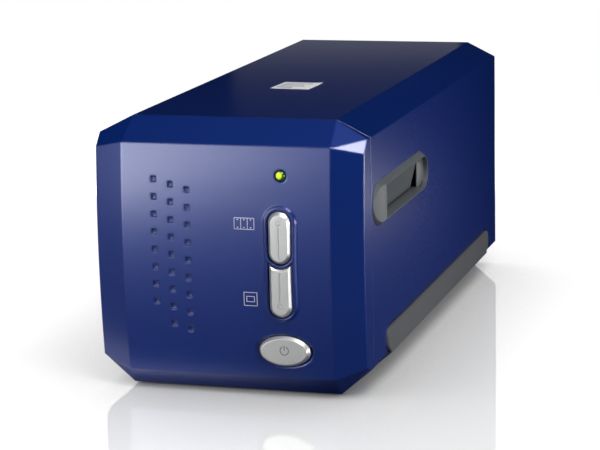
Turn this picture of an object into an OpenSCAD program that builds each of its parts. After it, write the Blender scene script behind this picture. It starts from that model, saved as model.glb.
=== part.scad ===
// Desktop scanner for strips of film and mounted slides.
// A holder slides through the machine from right to left, under a lamp and over a mirror,
// and a belt-driven optical carriage moves from front to back to read the frame.
// Millimetres. +X is the right side seen from the front, -Y the front and +Z up.
// Origin: middle of the bounding box on the table.

/* [Body] */
// Width over the side walls
body_w = 120; // [114:1:140]
// Overall depth, from the button faces to the back edge
overall_d = 272; // [268:1:320]
// Height from the table to the top
body_h = 119; // [117:1:135]
// Gap between the table and the base
foot_lift = 1; // [0.6:0.1:2]
// Wall thickness of the outer mouldings
wall = 2.4; // [2:0.1:3]
// Width of the slanted top corners
top_slant_w = 14.4; // [10:0.1:18]
// Height of the slanted top corners
top_slant_h = 7.2; // [5:0.1:9]
// Width of the slanted bottom corners
low_slant_w = 12.7; // [10:0.1:15]
// Height of the slanted bottom corners
low_slant_h = 10.8; // [9:0.1:11.4]
// Shadow gap between the fascia and the case
seam_gap = 0.35; // [0.2:0.05:0.6]
// Clearance between mouldings that plug into each other
fit_gap = 0.15; // [0.1:0.05:0.3]

/* [Fascia] */
// Radius of the front's vertical crown
crown_r = 470; // [400:10:1000]
// Height of the middle of the crown
crown_mid_z = 60; // [50:1:70]
// Width of one side facet, from the front panel to the side wall
side_facet_w = 13.5; // [10:0.5:16]
// Drop from the top to the upper edge of the panel
panel_top_drop = 9.8; // [8:0.1:12]
// Rise from the base to the lower edge of the panel
panel_low_rise = 8; // [6:0.1:10]
// Setback of the side facets where they reach the side walls
side_setback = 4.8; // [3:0.1:7]
// Drop from the top to the upper end of the side facets
side_top_drop = 12.7; // [12:0.1:15]
// Rise from the base to the lower end of the side facets
side_low_rise = 13; // [12.5:0.1:16]
// Run of the top facet, from the panel back to the top
top_run = 13.6; // [12:0.1:13.8]
// Run of the bottom facet, from the panel back to the base
low_run = 7.6; // [6:0.1:9]
// Run of the corner facets along the side walls
corner_run = 9.9; // [8:0.1:11]
// Depth of the fascia behind its front
fascia_d = 16.3; // [16.2:0.1:18]
// Length of the fascia's tongue inside the case
tongue_l = 2.4; // [2:0.1:2.6]
// Thickness of the fascia's tongue
tongue_t = 1.2; // [1:0.1:1.6]

/* [Dimples] */
// Side of one square dimple
dimple_side = 2.4; // [1.6:0.1:3.2]
// Depth of a dimple
dimple_depth = 0.7; // [0.4:0.1:1]
// Distance of the first column left of the middle
dimple_left = 31.9; // [30:0.1:38]
// Distance between columns
column_pitch = 7.5; // [5:0.1:9]
// Height of the first column's top dimple
dimple_top_z = 94; // [88:0.5:96]
// Drop of each column below the one to its left
column_drop = 2.1; // [0:0.1:3]
// Distance between rows
row_pitch = 7.6; // [5:0.1:7.8]
// Dimples in each column
column_rows = [8, 9, 9];

/* [Buttons] */
// Distance of the scan buttons right of the middle
button_x = 24.3; // [18:0.1:30]
// Width of a scan button
button_w = 10; // [8:0.1:12]
// Height of the upper button's bottom end
upper_low_z = 59.4; // [58:0.1:62]
// Height of the upper button's top end
upper_top_z = 82; // [80:0.1:88]
// Height of the lower button's bottom end
lower_low_z = 36.2; // [35:0.1:40]
// Gap round a button
button_gap = 0.5; // [0.4:0.1:0.8]
// Web between the two scan buttons
button_web = 1.2; // [1:0.1:1.6]
// How far the scan buttons stand out from the fascia
button_proud = 1.6; // [1.2:0.1:2.2]
// Bevel round a scan button's face
button_bevel = 1.4; // [0.8:0.1:1.6]
// Travel of a button
button_travel = 0.8; // [0.5:0.1:1]
// Width of the raised rim round the scan buttons
rim_w = 1.8; // [1.4:0.1:2.4]
// Height of the raised rim
rim_h = 0.9; // [0.5:0.1:1.1]
// Width of the oval power button
power_w = 22.7; // [20:0.1:24]
// Height of the oval power button
power_h = 13.5; // [12:0.1:14]
// Distance of the power button right of the middle
power_x = 24.9; // [20:0.1:28]
// Height of the middle of the power button
power_z = 21.2; // [21:0.1:23]
// Bevel round the power button's face
power_bevel = 1.2; // [1:0.1:2]
// How far the power button stands out from the surface round it
power_proud = 2; // [1:0.1:2.2]
// Radius of the status light's lens
led_r = 2; // [1.5:0.1:2.4]
// Distance of the status light right of the middle
led_x = 24.8; // [20:0.1:28]
// Height of the status light, as a share of the body's height
led_level = 0.815; // [0.805:0.001:0.825]

/* [Film slot] */
// Distance of the bezel's front end behind the fascia
bezel_in = 2; // [1.8:0.1:6]
// Height of the slot's middle, as a share of the body's height
slot_level = 0.684; // [0.675:0.001:0.69]
// How far the bezel stands out from the side wall
bezel_rise = 2.6; // [1.8:0.1:3.2]
// Width of the slope along the bezel's sides
bezel_slope = 2; // [1.2:0.1:2.6]
// Length of the bezel's rounded front end
bezel_ramp = 14; // [10:0.5:16]
// Width of the rim round the mouth
bezel_rim = 0.5; // [0.4:0.1:0.8]
// Overlap of the bezel on the side wall
bezel_lip = 0.8; // [0.6:0.1:1]
// Wall of the bezel's plug
plug_wall = 0.8; // [0.7:0.1:1]
// Depth of the plug behind the side wall's outer face
plug_d = 5.8; // [5.4:0.1:7]
// Length of the mouth
mouth_l = 74.5; // [72:0.5:80]
// Height of the mouth
mouth_h = 14.4; // [14:0.1:15]
// Length of a dust flap
flap_l = 58.5; // [54:0.5:59]
// Thickness of a dust flap
flap_t = 1.2; // [1:0.1:1.4]
// Depth of the flap's pin behind the side wall's outer face
hinge_in = 1.3; // [1.2:0.1:1.6]
// Radius of the flap pins
pin_r = 0.7; // [0.6:0.05:0.8]
// Radius of the flap's knuckle
knuckle_r = 1.3; // [1.2:0.05:1.4]
// Slant at which the right flap hangs
flap_tilt = 13; // [8:1:16]
// Clearance of a shaft in its bore
run_gap = 0.05; // [0.03:0.01:0.08]
// Clearance round moving mouldings
free_gap = 0.3; // [0.25:0.05:0.4]

/* [Film guide] */
// Inner width of the holder's channel
guide_w = 60; // [58:0.5:61]
// Distance from the channel's ends to the side walls' outer faces
guide_end = 10; // [9.8:0.1:13]
// Thickness of the channel's floor
guide_floor_t = 1.8; // [1.4:0.1:2.4]
// Thickness of the channel's side walls
guide_wall_t = 2; // [1.6:0.1:2.4]
// Height of the channel's side walls
guide_wall_h = 9.6; // [8:0.1:10]
// Size of the window along the film
window_l = 48; // [40:1:52]
// Size of the window across the film
window_w = 40; // [36:1:44]
// Side of a guide post
post_side = 5; // [4:0.5:5.5]

/* [Side strips] */
// Distance of the strips' front end behind the front
strip_front = 38; // [34:0.5:44]
// Distance of the strips' rear end ahead of the back
strip_rear = 22; // [14:0.1:40]
// Height of the strip's side face
strip_h = 12; // [10.6:0.1:14]
// How far a strip stands out from the side wall
strip_proud = 1; // [0.5:0.1:1.2]
// Depth of the recess that holds a strip
strip_recess = 1.2; // [0.8:0.1:1.4]
// Gap round a strip in its recess
strip_gap = 0.6; // [0.3:0.05:0.8]
// Radius of a strip's corners
strip_corner = 5; // [2:0.5:5]
// Width of the foot along each strip's lower edge
foot_w = 6; // [4:0.5:8]

/* [Chassis] */
// Height of the deck's underside
deck_z = 22.2; // [22:0.1:24]
// Thickness of the deck
deck_t = 2; // [1.6:0.1:2.4]
// Distance between the deck and the side walls' outer faces
deck_side = 8; // [7:0.5:8]
// Distance of the deck's front edge behind the front
deck_front = 21; // [20:0.5:22]
// Distance between the deck and the rear panel
deck_back = 18; // [14:0.5:18]
// Height of the brackets above the deck
bracket_h = 24; // [22:0.5:26]
// Radius of a guide rod
rod_r = 3; // [2.5:0.1:3.4]
// Distance from the guide rods to the side walls' outer faces
rod_in = 22; // [21:0.5:23]
// Height of the guide rods
rod_z = 40; // [39:0.5:41]
// Radius of the base's bosses
boss_r = 3.6; // [3:0.1:4.5]

/* [Carriage] */
// Travel of the carriage
travel = 36; // [24:1:38]
// Width of the optical tray
tray_w = 54; // [50:0.5:56]
// Clearance behind the tray at the end of its travel
tray_gap = 11.2; // [8:0.2:16]
// Height of the tray's underside
tray_z = 33.4; // [33:0.1:34]
// Clearance between the tray's lid and the film channel
lid_gap = 6.4; // [5:0.1:7]
// Wall of the tray
tray_wall = 2.2; // [1.8:0.1:2.6]
// Distance from the tray's front to the scan line
scan_in = 17; // [16:0.5:20]
// Thickness of the arm that carries the lamp
arm_t = 3; // [2.5:0.1:3.5]
// Clearance between the film channel and the lamp arm
arm_gap = 6; // [4:0.5:8]
// Height of the lamp housing
lamp_h = 11; // [9:0.5:14]
// Length of the lamp housing along the travel
lamp_l = 20; // [17:0.5:24]
// Height of the optical axis above the tray's middle
axis_up = 1.1; // [0:0.1:1.2]
// Radius of the lens barrel
lens_r = 9; // [7:0.5:10]
// Length of the lens barrel
lens_l = 24; // [18:1:30]
// Distance from the scan line to the lens
lens_out = 84; // [76:1:92]
// Thickness of the mirror
mirror_t = 3; // [2:0.1:4]

/* [Drive] */
// Distance from the belt line to the right side wall's outer face
belt_in = 34; // [32:0.5:36]
// Distance of the motor behind the front
motor_back = 45; // [42:0.5:48]
// Distance between the pulleys
pulley_span = 112; // [100:1:120]
// Radius of the pulleys over their teeth
pulley_r = 5.7; // [5:0.1:6.2]
// Teeth on a pulley
pulley_teeth = 15; // [12:1:18]
// Thickness of the belt
belt_t = 1.2; // [0.8:0.1:1.4]
// Width of the belt
belt_w = 5; // [4:0.1:5.2]
// Radius of the stepper motor
motor_r = 17.5; // [14:0.5:18]
// Height of the stepper motor
motor_h = 16; // [12:0.5:17]
// Radius of the motor's shaft
shaft_r = 1.5; // [1.2:0.1:2]

/* [Boards] */
// Thickness of a circuit board
board_t = 1.6; // [1.2:0.1:2]
// Distance between the main board and the side walls' outer faces
main_side = 18; // [15:0.5:20]
// Length of the main board
main_l = 104; // [90:1:110]
// Height of the main board's underside above the base's floor
main_up = 5.4; // [4.6:0.1:5.6]
// Width of the button board
key_board_w = 24; // [22:1:30]
// Setback of the button board behind the front
key_board_in = 14; // [13:0.1:15]
// Body height of a push switch
switch_h = 3.6; // [3:0.1:4]
// Radius of the screws in the deck
screw_r = 1.4; // [1.2:0.1:1.6]
// Distance of the data socket left of the middle
data_x = 18; // [14:0.5:24]
// Distance of the power inlet right of the middle
inlet_x = 14; // [12:0.5:20]

/* [Hidden] */

round_fn = 48;
over = 1;       // how far a cutter runs past the face that it cuts
far = 1000;     // half size of a solid that stands for a half space
blue = "#262b6b";
grey = "#4d4d50";
silver = "#c9cacc";
steel = "#9a9ea3";
green = "#1f6b3a";
black = "#1c1c1e";

half_w = body_w / 2;
front_y = -overall_d / 2 + button_proud;
back_y = overall_d / 2;
seam_y = front_y + fascia_d;
split_z = foot_lift + low_slant_h;
floor_z = foot_lift + wall;
panel_top_z = body_h - panel_top_drop;
panel_low_z = foot_lift + panel_low_rise;
panel_w = body_w - 2 * side_facet_w;
led_z = body_h * led_level;
slot_z = body_h * slot_level;

// Distance behind the front of the crowned face at a height
function crown_back(z) = crown_r - sqrt(crown_r * crown_r - pow(z - crown_mid_z, 2));
function crown_y(z) = front_y + crown_back(z);

// A slanted corner moved inwards: its end on the flat side that meets it
function slide_in(step, along, across) = step * (1 - along) / across;

// Outline of the body, seen from the front, moved inwards by a step
function body_outline(step = 0) =
    let (
        top_len = norm([top_slant_w, top_slant_h]),
        low_len = norm([low_slant_w, low_slant_h]),
        top_nx = top_slant_h / top_len,
        top_nz = top_slant_w / top_len,
        low_nx = low_slant_h / low_len,
        low_nz = low_slant_w / low_len,
        right = [
            [half_w - low_slant_w - slide_in(step, low_nz, low_nx), foot_lift + step],
            [half_w - step, split_z + slide_in(step, low_nx, low_nz)],
            [half_w - step, body_h - top_slant_h - slide_in(step, top_nx, top_nz)],
            [half_w - top_slant_w - slide_in(step, top_nz, top_nx), body_h - step]
        ]
    )
    concat(right, [for (i = [3:-1:0]) [-right[i][0], right[i][1]]]);

// ---- Shared shapes ----

module block(low, high) {
    translate(low) cube(high - low);
}

module along_y(y0, y1) {
    translate([0, y1, 0]) rotate([90, 0, 0]) linear_extrude(y1 - y0) children();
}

module along_x(x0, x1) {
    translate([x0, 0, 0]) rotate([90, 0, 90]) linear_extrude(x1 - x0) children();
}

module body_prism(step, y0, y1) {
    along_y(y0, y1) polygon(body_outline(step));
}

// Band between two outlines of the body
module ring(outer_step, inner_step, y0, y1) {
    difference() {
        body_prism(outer_step, y0, y1);
        body_prism(inner_step, y0 - over, y1 + over);
    }
}

module rod_y(r, x, z, y0, y1, r_end = undef) {
    translate([x, y0, z]) rotate([-90, 0, 0])
        cylinder(h = y1 - y0, r1 = r, r2 = is_undef(r_end) ? r : r_end, $fn = round_fn);
}

module rod_z(r, x, y, z0, z1) {
    translate([x, y, z0]) cylinder(h = z1 - z0, r = r, $fn = round_fn);
}

// Straight-sided outline with round ends, lying along the first axis
module stadium(length, width) {
    r = width / 2;
    square([length - width, width], center = true);
    for (side = [-1, 1]) translate([side * (length / 2 - r), 0]) circle(r, $fn = round_fn);
}

module oval(width, height) {
    sides = 64;
    polygon([for (i = [0:sides - 1]) let (a = 360 * i / sides) [width / 2 * cos(a), height / 2 * sin(a)]]);
}

// The solid side of the plane through three points, which holds the inner point
module half_space(a, b, c, inner, step) {
    raw = cross(b - a, c - a);
    unit = raw / norm(raw);
    normal = unit * (inner - a) > 0 ? -unit : unit;
    translate(a - normal * step)
        rotate([0, acos(normal[2]), atan2(normal[1], normal[0])])
            translate([-far, -far, -2 * far]) cube(2 * far);
}

function mirror_x(p) = [-p[0], p[1], p[2]];

// ---- Front fascia ----

side_top_z = body_h - side_top_drop;
side_low_z = foot_lift + side_low_rise;
corner_out = 0.12;              // the facets would meet this far outside the body's corners
panel_top = [panel_w / 2, crown_y(panel_top_z) - corner_out, panel_top_z];
panel_low = [panel_w / 2, crown_y(panel_low_z) - corner_out, panel_low_z];
slant_top = [half_w - top_slant_w, panel_top[1] + top_run, body_h + corner_out];
slant_low = [half_w - low_slant_w, panel_low[1] + low_run, foot_lift - corner_out];
corner_top = [half_w + corner_out, panel_top[1] + corner_run, body_h - top_slant_h];
corner_low = [half_w + corner_out, panel_low[1] + corner_run, split_z];
facet_top = [half_w + corner_out, crown_y(side_top_z) + side_setback, side_top_z];
facet_low = [half_w + corner_out, crown_y(side_low_z) + side_setback, side_low_z];
fascia_core = [0, seam_y, body_h / 2];

// The crowned face with its side facets, turned about an axis far behind it
module crowned_disc(step, grow = 0) {
    outer = crown_r - step + grow;
    past = 10;
    slope = side_setback / (half_w - panel_w / 2);
    translate([0, front_y + crown_r, crown_mid_z]) rotate([0, 90, 0])
        rotate_extrude($fn = 720) polygon([
            [outer - side_setback - past * slope, half_w + past],
            [outer, panel_w / 2 - step / 4],
            [outer, -panel_w / 2 + step / 4],
            [outer - side_setback - past * slope, -half_w - past],
            [crown_r / 2, -half_w - past],
            [crown_r / 2, half_w + past]
        ]);
}

module fascia_form(step, y1) {
    intersection() {
        body_prism(step, front_y - over, y1);
        crowned_disc(step);
        half_space(panel_top, slant_top, mirror_x(slant_top), fascia_core, step);
        half_space(panel_low, slant_low, mirror_x(slant_low), fascia_core, step);
        for_both_sides() half_space(panel_top, slant_top, corner_top, fascia_core, step);
        for_both_sides() half_space(panel_top, corner_top, facet_top, fascia_core, step);
        for_both_sides() half_space(panel_low, slant_low, facet_low, fascia_core, step);
        for_both_sides() half_space(slant_low, corner_low, facet_low, fascia_core, step);
    }
}

// What is inside both a half space and its mirror image
module for_both_sides() {
    intersection() {
        children();
        mirror([1, 0, 0]) children();
    }
}

upper_z = (upper_top_z + upper_low_z) / 2;
upper_l = upper_top_z - upper_low_z;
end_z = upper_low_z + button_w / 2;          // middle of the round end that the lower button hugs
web_in_r = button_w / 2 + button_gap;
web_out_r = web_in_r + button_web;
hug_r = web_out_r + button_gap;
lower_z = (end_z + lower_low_z) / 2;
lower_l = end_z - lower_low_z;
key_inner_y = front_y + wall;

// Upper button's outline, grown by a margin
module upper_outline(grow) {
    translate([button_x, upper_z]) rotate(90) stadium(upper_l + 2 * grow, button_w + 2 * grow);
}

// Lower button's outline, grown by a margin: its top follows the upper button's round end
module lower_outline(grow) {
    difference() {
        union() {
            translate([button_x, lower_low_z + button_w / 2]) circle(button_w / 2 + grow, $fn = round_fn);
            translate([button_x - button_w / 2 - grow, lower_low_z + button_w / 2])
                square([button_w + 2 * grow, end_z - lower_low_z - button_w / 2]);
        }
        translate([button_x, end_z]) circle(hug_r - grow, $fn = round_fn);
    }
}

// Stadium frustum standing out to the front, with a slope of a width and a depth on its front edge
module beveled_stadium(width, z0, z1, y_front, y_back, bevel, depth) {
    r = width / 2;
    for (z = [z0 + r, z1 - r]) {
        rod_y(r - bevel, button_x, z, y_front, y_front + depth, r);
        rod_y(r, button_x, z, y_front + depth, y_back);
    }
    translate([0, 0, z0 + r]) linear_extrude(z1 - z0 - width) polygon([
        [button_x - r + bevel, y_front], [button_x + r - bevel, y_front],
        [button_x + r, y_front + depth], [button_x + r, y_back],
        [button_x - r, y_back], [button_x - r, y_front + depth]
    ]);
}

module button_rim() {
    edge = button_gap + rim_w;
    intersection() {
        beveled_stadium(button_w + 2 * edge, lower_low_z - edge + 0.4, upper_top_z + edge,
            front_y - rim_h, key_inner_y, rim_h, rim_h);
        crowned_disc(0, rim_h);
    }
}

module dimples() {
    for (column = [0:len(column_rows) - 1], row = [0:column_rows[column] - 1]) {
        x = -dimple_left + column * column_pitch;
        z = dimple_top_z - column * column_drop - row * row_pitch;
        translate([x, crown_y(z) + dimple_depth - over - 2, z])
            translate([-dimple_side / 2, 0, -dimple_side / 2])
                cube([dimple_side, over + 2, dimple_side]);
    }
}

key_post_r = 2.4;
key_posts = [[button_x - 9, led_z + 3], [button_x + 9, upper_top_z + 6], [button_x - 9, lower_low_z - 4]];
key_board_y = front_y + key_board_in;
power_y = crown_y(power_z);

module front_fascia() {
    sink = 1.1;
    color(blue) difference() {
        union() {
            difference() {
                fascia_form(0, seam_y);
                fascia_form(wall, seam_y + over);
            }
            button_rim();
            for (post = key_posts) rod_y(key_post_r, post[0], post[1], crown_y(post[1]) + wall - 1, key_board_y);
            ring(wall - 0.5, wall + fit_gap + tongue_t, seam_y - 1.6, seam_y);
            ring(wall + fit_gap, wall + fit_gap + tongue_t, seam_y - 1, seam_y + tongue_l);
        }
        along_y(front_y - 2 * over, crown_y(upper_top_z) + wall + over) upper_outline(button_gap);
        along_y(front_y - 2 * over, crown_y(lower_low_z) + wall + over) lower_outline(button_gap);
        dimples();
        rod_y(led_r + fit_gap, led_x, led_z, front_y - over, crown_y(led_z) + wall + over);
        rod_y(led_r + fit_gap + 0.5, led_x, led_z, front_y - over, crown_y(led_z) + 0.5);
        along_y(front_y - over, power_y + wall + over)
            translate([power_x, power_z]) oval(power_w + 2 * button_gap, power_h + 2 * button_gap);
        hull() {
            along_y(power_y - 0.2, power_y - 0.1) translate([power_x, power_z])
                oval(power_w + 2 * (button_gap + sink), power_h + 2 * (button_gap + sink));
            along_y(power_y + sink - 0.1, power_y + sink) translate([power_x, power_z])
                oval(power_w + 2 * button_gap, power_h + 2 * button_gap);
        }
    }
}

// ---- Case, base and back ----

strip_y0 = front_y + strip_front;
strip_y1 = back_y - strip_rear;
strip_l = strip_y1 - strip_y0;
strip_mid_y = (strip_y0 + strip_y1) / 2;
strip_mid_z = split_z + strip_h / 2;
bezel_y0 = seam_y + bezel_in;
slot_y = bezel_y0 + bezel_ramp + bezel_rim + mouth_l / 2;
bezel_l = bezel_ramp + mouth_l + 2 * bezel_rim + bezel_slope;
bezel_h = mouth_h + 2 * (bezel_slope + bezel_rim);
bezel_y = bezel_y0 + bezel_l / 2;
mouth_low_z = slot_z - mouth_h / 2;
mouth_top_z = slot_z + mouth_h / 2;
panel_t = 2.4;                 // thickness of the rear panel
panel_in = 1;                  // how far the rear panel sits inside the case
rear_y = back_y - panel_in;

// Side view of a strip: a rectangle with round corners
module strip_outline(shrink) {
    long = strip_l / 2 - shrink;
    tall = strip_h / 2 - shrink;
    r = strip_corner - shrink;
    translate([strip_mid_y, strip_mid_z]) {
        square([2 * long - 2 * r, 2 * tall], center = true);
        square([2 * long, 2 * tall - 2 * r], center = true);
        for (y = [-1, 1], z = [-1, 1])
            translate([y * (long - r), z * (tall - r)]) circle(r, $fn = round_fn);
    }
}

module slot_outline(inset) {
    translate([bezel_y, slot_z]) stadium(bezel_l - 2 * inset, bezel_h - 2 * inset);
}

// Both of a pair, on the right and mirrored on the left
module pair() {
    children();
    mirror([1, 0, 0]) children();
}

module case_shell() {
    y0 = seam_y + seam_gap;
    ledge = 1.4;
    color(blue) difference() {
        union() {
            ring(0, wall, y0, back_y);
            // ledge that stops the rear panel
            ring(wall - 0.5, wall + ledge, rear_y - panel_t - 2, rear_y - panel_t);
        }
        block([-body_w, front_y, -over], [body_w, back_y + over, split_z]);
        pair() along_x(half_w - strip_recess, half_w + over) strip_outline(0);
        pair() along_x(half_w - wall - over, half_w + over) slot_outline(bezel_lip);
    }
}

deck_y0 = front_y + deck_front;
deck_y1 = rear_y - panel_t - deck_back;
deck_l = deck_y1 - deck_y0;
deck_w = body_w - 2 * deck_side;
main_w = body_w - 2 * main_side;
boss_spots = [for (x = [-1, 0, 1], y = [deck_y0 + 8, deck_y1 - 8]) [x * (half_w - 16), y]];
main_y1 = rear_y - panel_t - 0.8;
main_y0 = main_y1 - main_l;
main_z = floor_z + main_up;
main_spots = [for (x = [-1, 1], y = [main_y0 + 5, main_y1 - 14]) [x * (main_w / 2 - 4), y]];

module base_tray() {
    y0 = seam_y + seam_gap;
    lip_y0 = y0 + tongue_l + over;
    lip_y1 = rear_y - panel_t - 3;
    vents = 9;
    vent_pitch = (half_w - 28) / 4;
    rib_x = half_w - 24;
    color(blue) difference() {
        union() {
            intersection() {
                ring(0, wall, y0, back_y);
                block([-body_w, front_y, 0], [body_w, back_y + over, split_z]);
            }
            // lip that plugs into the case
            intersection() {
                ring(wall - 0.5, wall + fit_gap + tongue_t, lip_y0, lip_y1);
                block([-body_w, front_y, split_z - 3], [body_w, back_y, split_z - fit_gap]);
            }
            intersection() {
                ring(wall + fit_gap, wall + fit_gap + tongue_t, lip_y0, lip_y1);
                block([-body_w, front_y, split_z - 3], [body_w, back_y, split_z + 3]);
            }
            for (spot = boss_spots) rod_z(boss_r, spot[0], spot[1], floor_z - 0.5, deck_z);
            for (spot = main_spots) rod_z(boss_r - 0.6, spot[0], spot[1], floor_z - 0.5, main_z);
            for (x = [-rib_x, rib_x])
                block([x - 0.8, seam_y + 12, floor_z - 0.5], [x + 0.8, main_y0 - 4, floor_z + 2]);
        }
        for (spot = boss_spots) rod_z(screw_r, spot[0], spot[1], deck_z - 9, deck_z + over);
        for (i = [0:vents - 1])
            translate([(i - (vents - 1) / 2) * vent_pitch, main_y0 - 30, 0])
                translate([0, 0, -over]) linear_extrude(floor_z + 2 * over) rotate(90) stadium(30, 2.4);
    }
}

data_w = 12.2;
data_h = 11;
data_d = 16.4;
inlet_w = 9;
inlet_h = 10.8;
inlet_d = 13.6;
socket_z = main_z + board_t;

module rear_panel() {
    label_w = 60;
    label_h = 26;
    color(blue) difference() {
        body_prism(wall + fit_gap, rear_y - panel_t, rear_y);
        block([-data_x - data_w / 2 - 0.3, rear_y - panel_t - over, socket_z - 0.3],
            [-data_x + data_w / 2 + 0.3, rear_y + over, socket_z + data_h + 0.3]);
        block([inlet_x - inlet_w / 2 - 0.3, rear_y - panel_t - over, socket_z - 0.3],
            [inlet_x + inlet_w / 2 + 0.3, rear_y + over, socket_z + inlet_h + 0.3]);
        block([-label_w / 2, rear_y - 0.4, body_h / 2], [label_w / 2, rear_y + over, body_h / 2 + label_h]);
    }
}

// ---- Film slot: bezels, flaps and pins ----

hinge_x = half_w - hinge_in;
cavity_inset = bezel_lip + fit_gap + plug_wall;
hinge_z = slot_z + bezel_h / 2 - cavity_inset - free_gap - knuckle_r;
right_drop = (hinge_z - mouth_low_z + 0.5) / cos(flap_tilt);
left_drop = hinge_z - mouth_low_z - 0.4;
lip_x = hinge_x - (hinge_z - mouth_low_z) * tan(flap_tilt) + flap_t / 2 / cos(flap_tilt) + free_gap;
ear_t = 2;
ear_y = flap_l / 2 + 0.6;
ramp_r = (pow(bezel_ramp, 2) + pow(bezel_rise - 0.4, 2)) / (2 * (bezel_rise - 0.4));

// The bezel's raised form: sloped sides, and a front end that curves down to the wall
module bezel_form() {
    r = bezel_h / 2;
    y0 = bezel_y0 + r;
    y1 = bezel_y0 + bezel_l - r;
    x1 = half_w + bezel_rise;
    intersection() {
        union() {
            for (y = [y0, y1])
                translate([half_w, y, slot_z]) rotate([0, 90, 0])
                    cylinder(h = bezel_rise, r1 = r, r2 = r - bezel_slope, $fn = round_fn);
            along_y(y0, y1) polygon([
                [half_w, slot_z - r], [x1, slot_z - r + bezel_slope],
                [x1, slot_z + r - bezel_slope], [half_w, slot_z + r]
            ]);
        }
        union() {
            block([half_w - over, bezel_y0 + bezel_ramp, slot_z - r - over], [x1 + over, y1 + r + over, slot_z + r + over]);
            translate([x1 - ramp_r, bezel_y0 + bezel_ramp, slot_z - r - over])
                cylinder(h = 2 * r + 2 * over, r = ramp_r, $fn = 360);
        }
    }
}

// Outline of the mouth: straight at the front and round at the rear
module mouth_outline() {
    r = mouth_h / 2;
    translate([slot_y - mouth_l / 2, slot_z - r]) square([mouth_l - r, mouth_h]);
    translate([slot_y + mouth_l / 2 - r, slot_z]) circle(r, $fn = round_fn);
}

// Slanted wall beyond each end of the flap, which closes the mouth there
module mouth_ends(x0, x1) {
    y0 = ear_y;
    y1 = mouth_l / 2 + 1;
    intersection() {
        along_x(x0, x1) slot_outline(cavity_inset - 0.3);
        translate([0, 0, slot_z - bezel_h / 2]) linear_extrude(bezel_h)
            for (side = [-1, 1])
                polygon([for (p = [[x0, y0], [x0 + 0.5, y0], [x1, y1 - 1], [x1, y1], [x0, y1]]) [p[0], slot_y + side * p[1]]]);
    }
}

// Bezel on the right side: raised form, plug, sill and the ears that hold the pin
module slot_bezel() {
    cavity_x = half_w + 0.6;
    cavity_low = slot_z - bezel_h / 2 + cavity_inset;
    plug_end = 1.4;             // depth of the plug beyond the ears
    color(grey) difference() {
        union() {
            difference() {
                union() {
                    bezel_form();
                    along_x(half_w - plug_d, half_w + 0.2) slot_outline(bezel_lip + fit_gap);
                }
                along_x(half_w - plug_d - over, cavity_x) slot_outline(cavity_inset);
                for (side = [-1, 1])
                    translate([0, slot_y + side * (ear_y + ear_t + 1 + bezel_l / 2), 0])
                        block([half_w - plug_d - over, -bezel_l / 2, slot_z - bezel_h], [half_w - plug_end, bezel_l / 2, slot_z + bezel_h]);
            }
            mouth_ends(half_w - plug_end, cavity_x + 0.3);
            // sill that stops the flap
            block([lip_x, slot_y - ear_y - ear_t, cavity_low - 0.3], [cavity_x + 0.3, slot_y + ear_y + ear_t, mouth_low_z]);
            for (side = [-1, 1])
                translate([hinge_x, slot_y + side * (ear_y + ear_t / 2), hinge_z])
                    block([-knuckle_r - 0.6, -ear_t / 2, -knuckle_r - 0.2], [hinge_in + 0.4, ear_t / 2, knuckle_r + free_gap + 0.5]);
        }
        along_x(half_w + 0.5, half_w + bezel_rise + over) mouth_outline();
        rod_y(pin_r + 0.02, hinge_x, hinge_z, slot_y - ear_y - ear_t - over, slot_y + ear_y + ear_t + over);
    }
}

module slot_bezel_right() {
    slot_bezel();
}

module slot_bezel_left() {
    mirror([1, 0, 0]) slot_bezel();
}

// Flap on the right side, hanging from its pin at a slant
module dust_flap(drop, tilt) {
    color(grey) translate([hinge_x, slot_y, hinge_z]) rotate([0, tilt, 0]) difference() {
        union() {
            rod_y(knuckle_r, 0, 0, -flap_l / 2, flap_l / 2);
            block([-flap_t / 2, -flap_l / 2, -drop + flap_t / 2], [flap_t / 2, flap_l / 2, 0]);
            rod_y(flap_t / 2, 0, -drop + flap_t / 2, -flap_l / 2, flap_l / 2);
            for (side = [-1, 0, 1])
                translate([-flap_t / 2 - 0.5, side * (flap_l / 2 - 0.6) - 0.6, -drop + 2])
                    cube([0.7, 1.2, drop - 3.4]);
        }
        rod_y(pin_r + run_gap, 0, 0, -flap_l / 2 - over, flap_l / 2 + over);
    }
}

module dust_flap_right() {
    dust_flap(right_drop, flap_tilt);
}

module dust_flap_left() {
    mirror([1, 0, 0]) dust_flap(left_drop, 0);
}

module flap_pin_right() {
    color(steel) rod_y(pin_r, hinge_x, hinge_z, slot_y - ear_y - ear_t, slot_y + ear_y + ear_t);
}

module flap_pin_left() {
    mirror([1, 0, 0]) flap_pin_right();
}

// ---- Side strips, which are the feet ----

module side_strip_right() {
    slant = low_slant_h / low_slant_w;
    edge_x = half_w + strip_proud;
    edge_z = split_z - strip_proud * (1 - sin(atan(slant))) / cos(atan(slant));
    foot_out = edge_x - edge_z / slant;
    foot_in = foot_out - foot_w;
    corner_x = half_w - low_slant_w;
    bevel = 0.4;
    r = strip_corner;
    color(grey) {
        along_x(half_w - strip_recess, edge_x - bevel) strip_outline(strip_gap);
        along_x(edge_x - bevel, edge_x) strip_outline(strip_gap + bevel);
        along_y(strip_y0 + r, strip_y1 - r) polygon([
            [half_w, split_z + 2], [half_w, split_z], [corner_x, foot_lift], [foot_in, foot_lift],
            [foot_in, 0], [foot_out, 0], [edge_x, edge_z], [edge_x, edge_z + 2]
        ]);
    }
}

module side_strip_left() {
    mirror([1, 0, 0]) side_strip_right();
}

// ---- Buttons and status light ----

cap_back_y = front_y + 6;
stem_tip_y = key_board_y - switch_h - 1.4 - button_travel - free_gap;
tab_y = key_inner_y + crown_back(lower_low_z) + free_gap;

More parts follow.
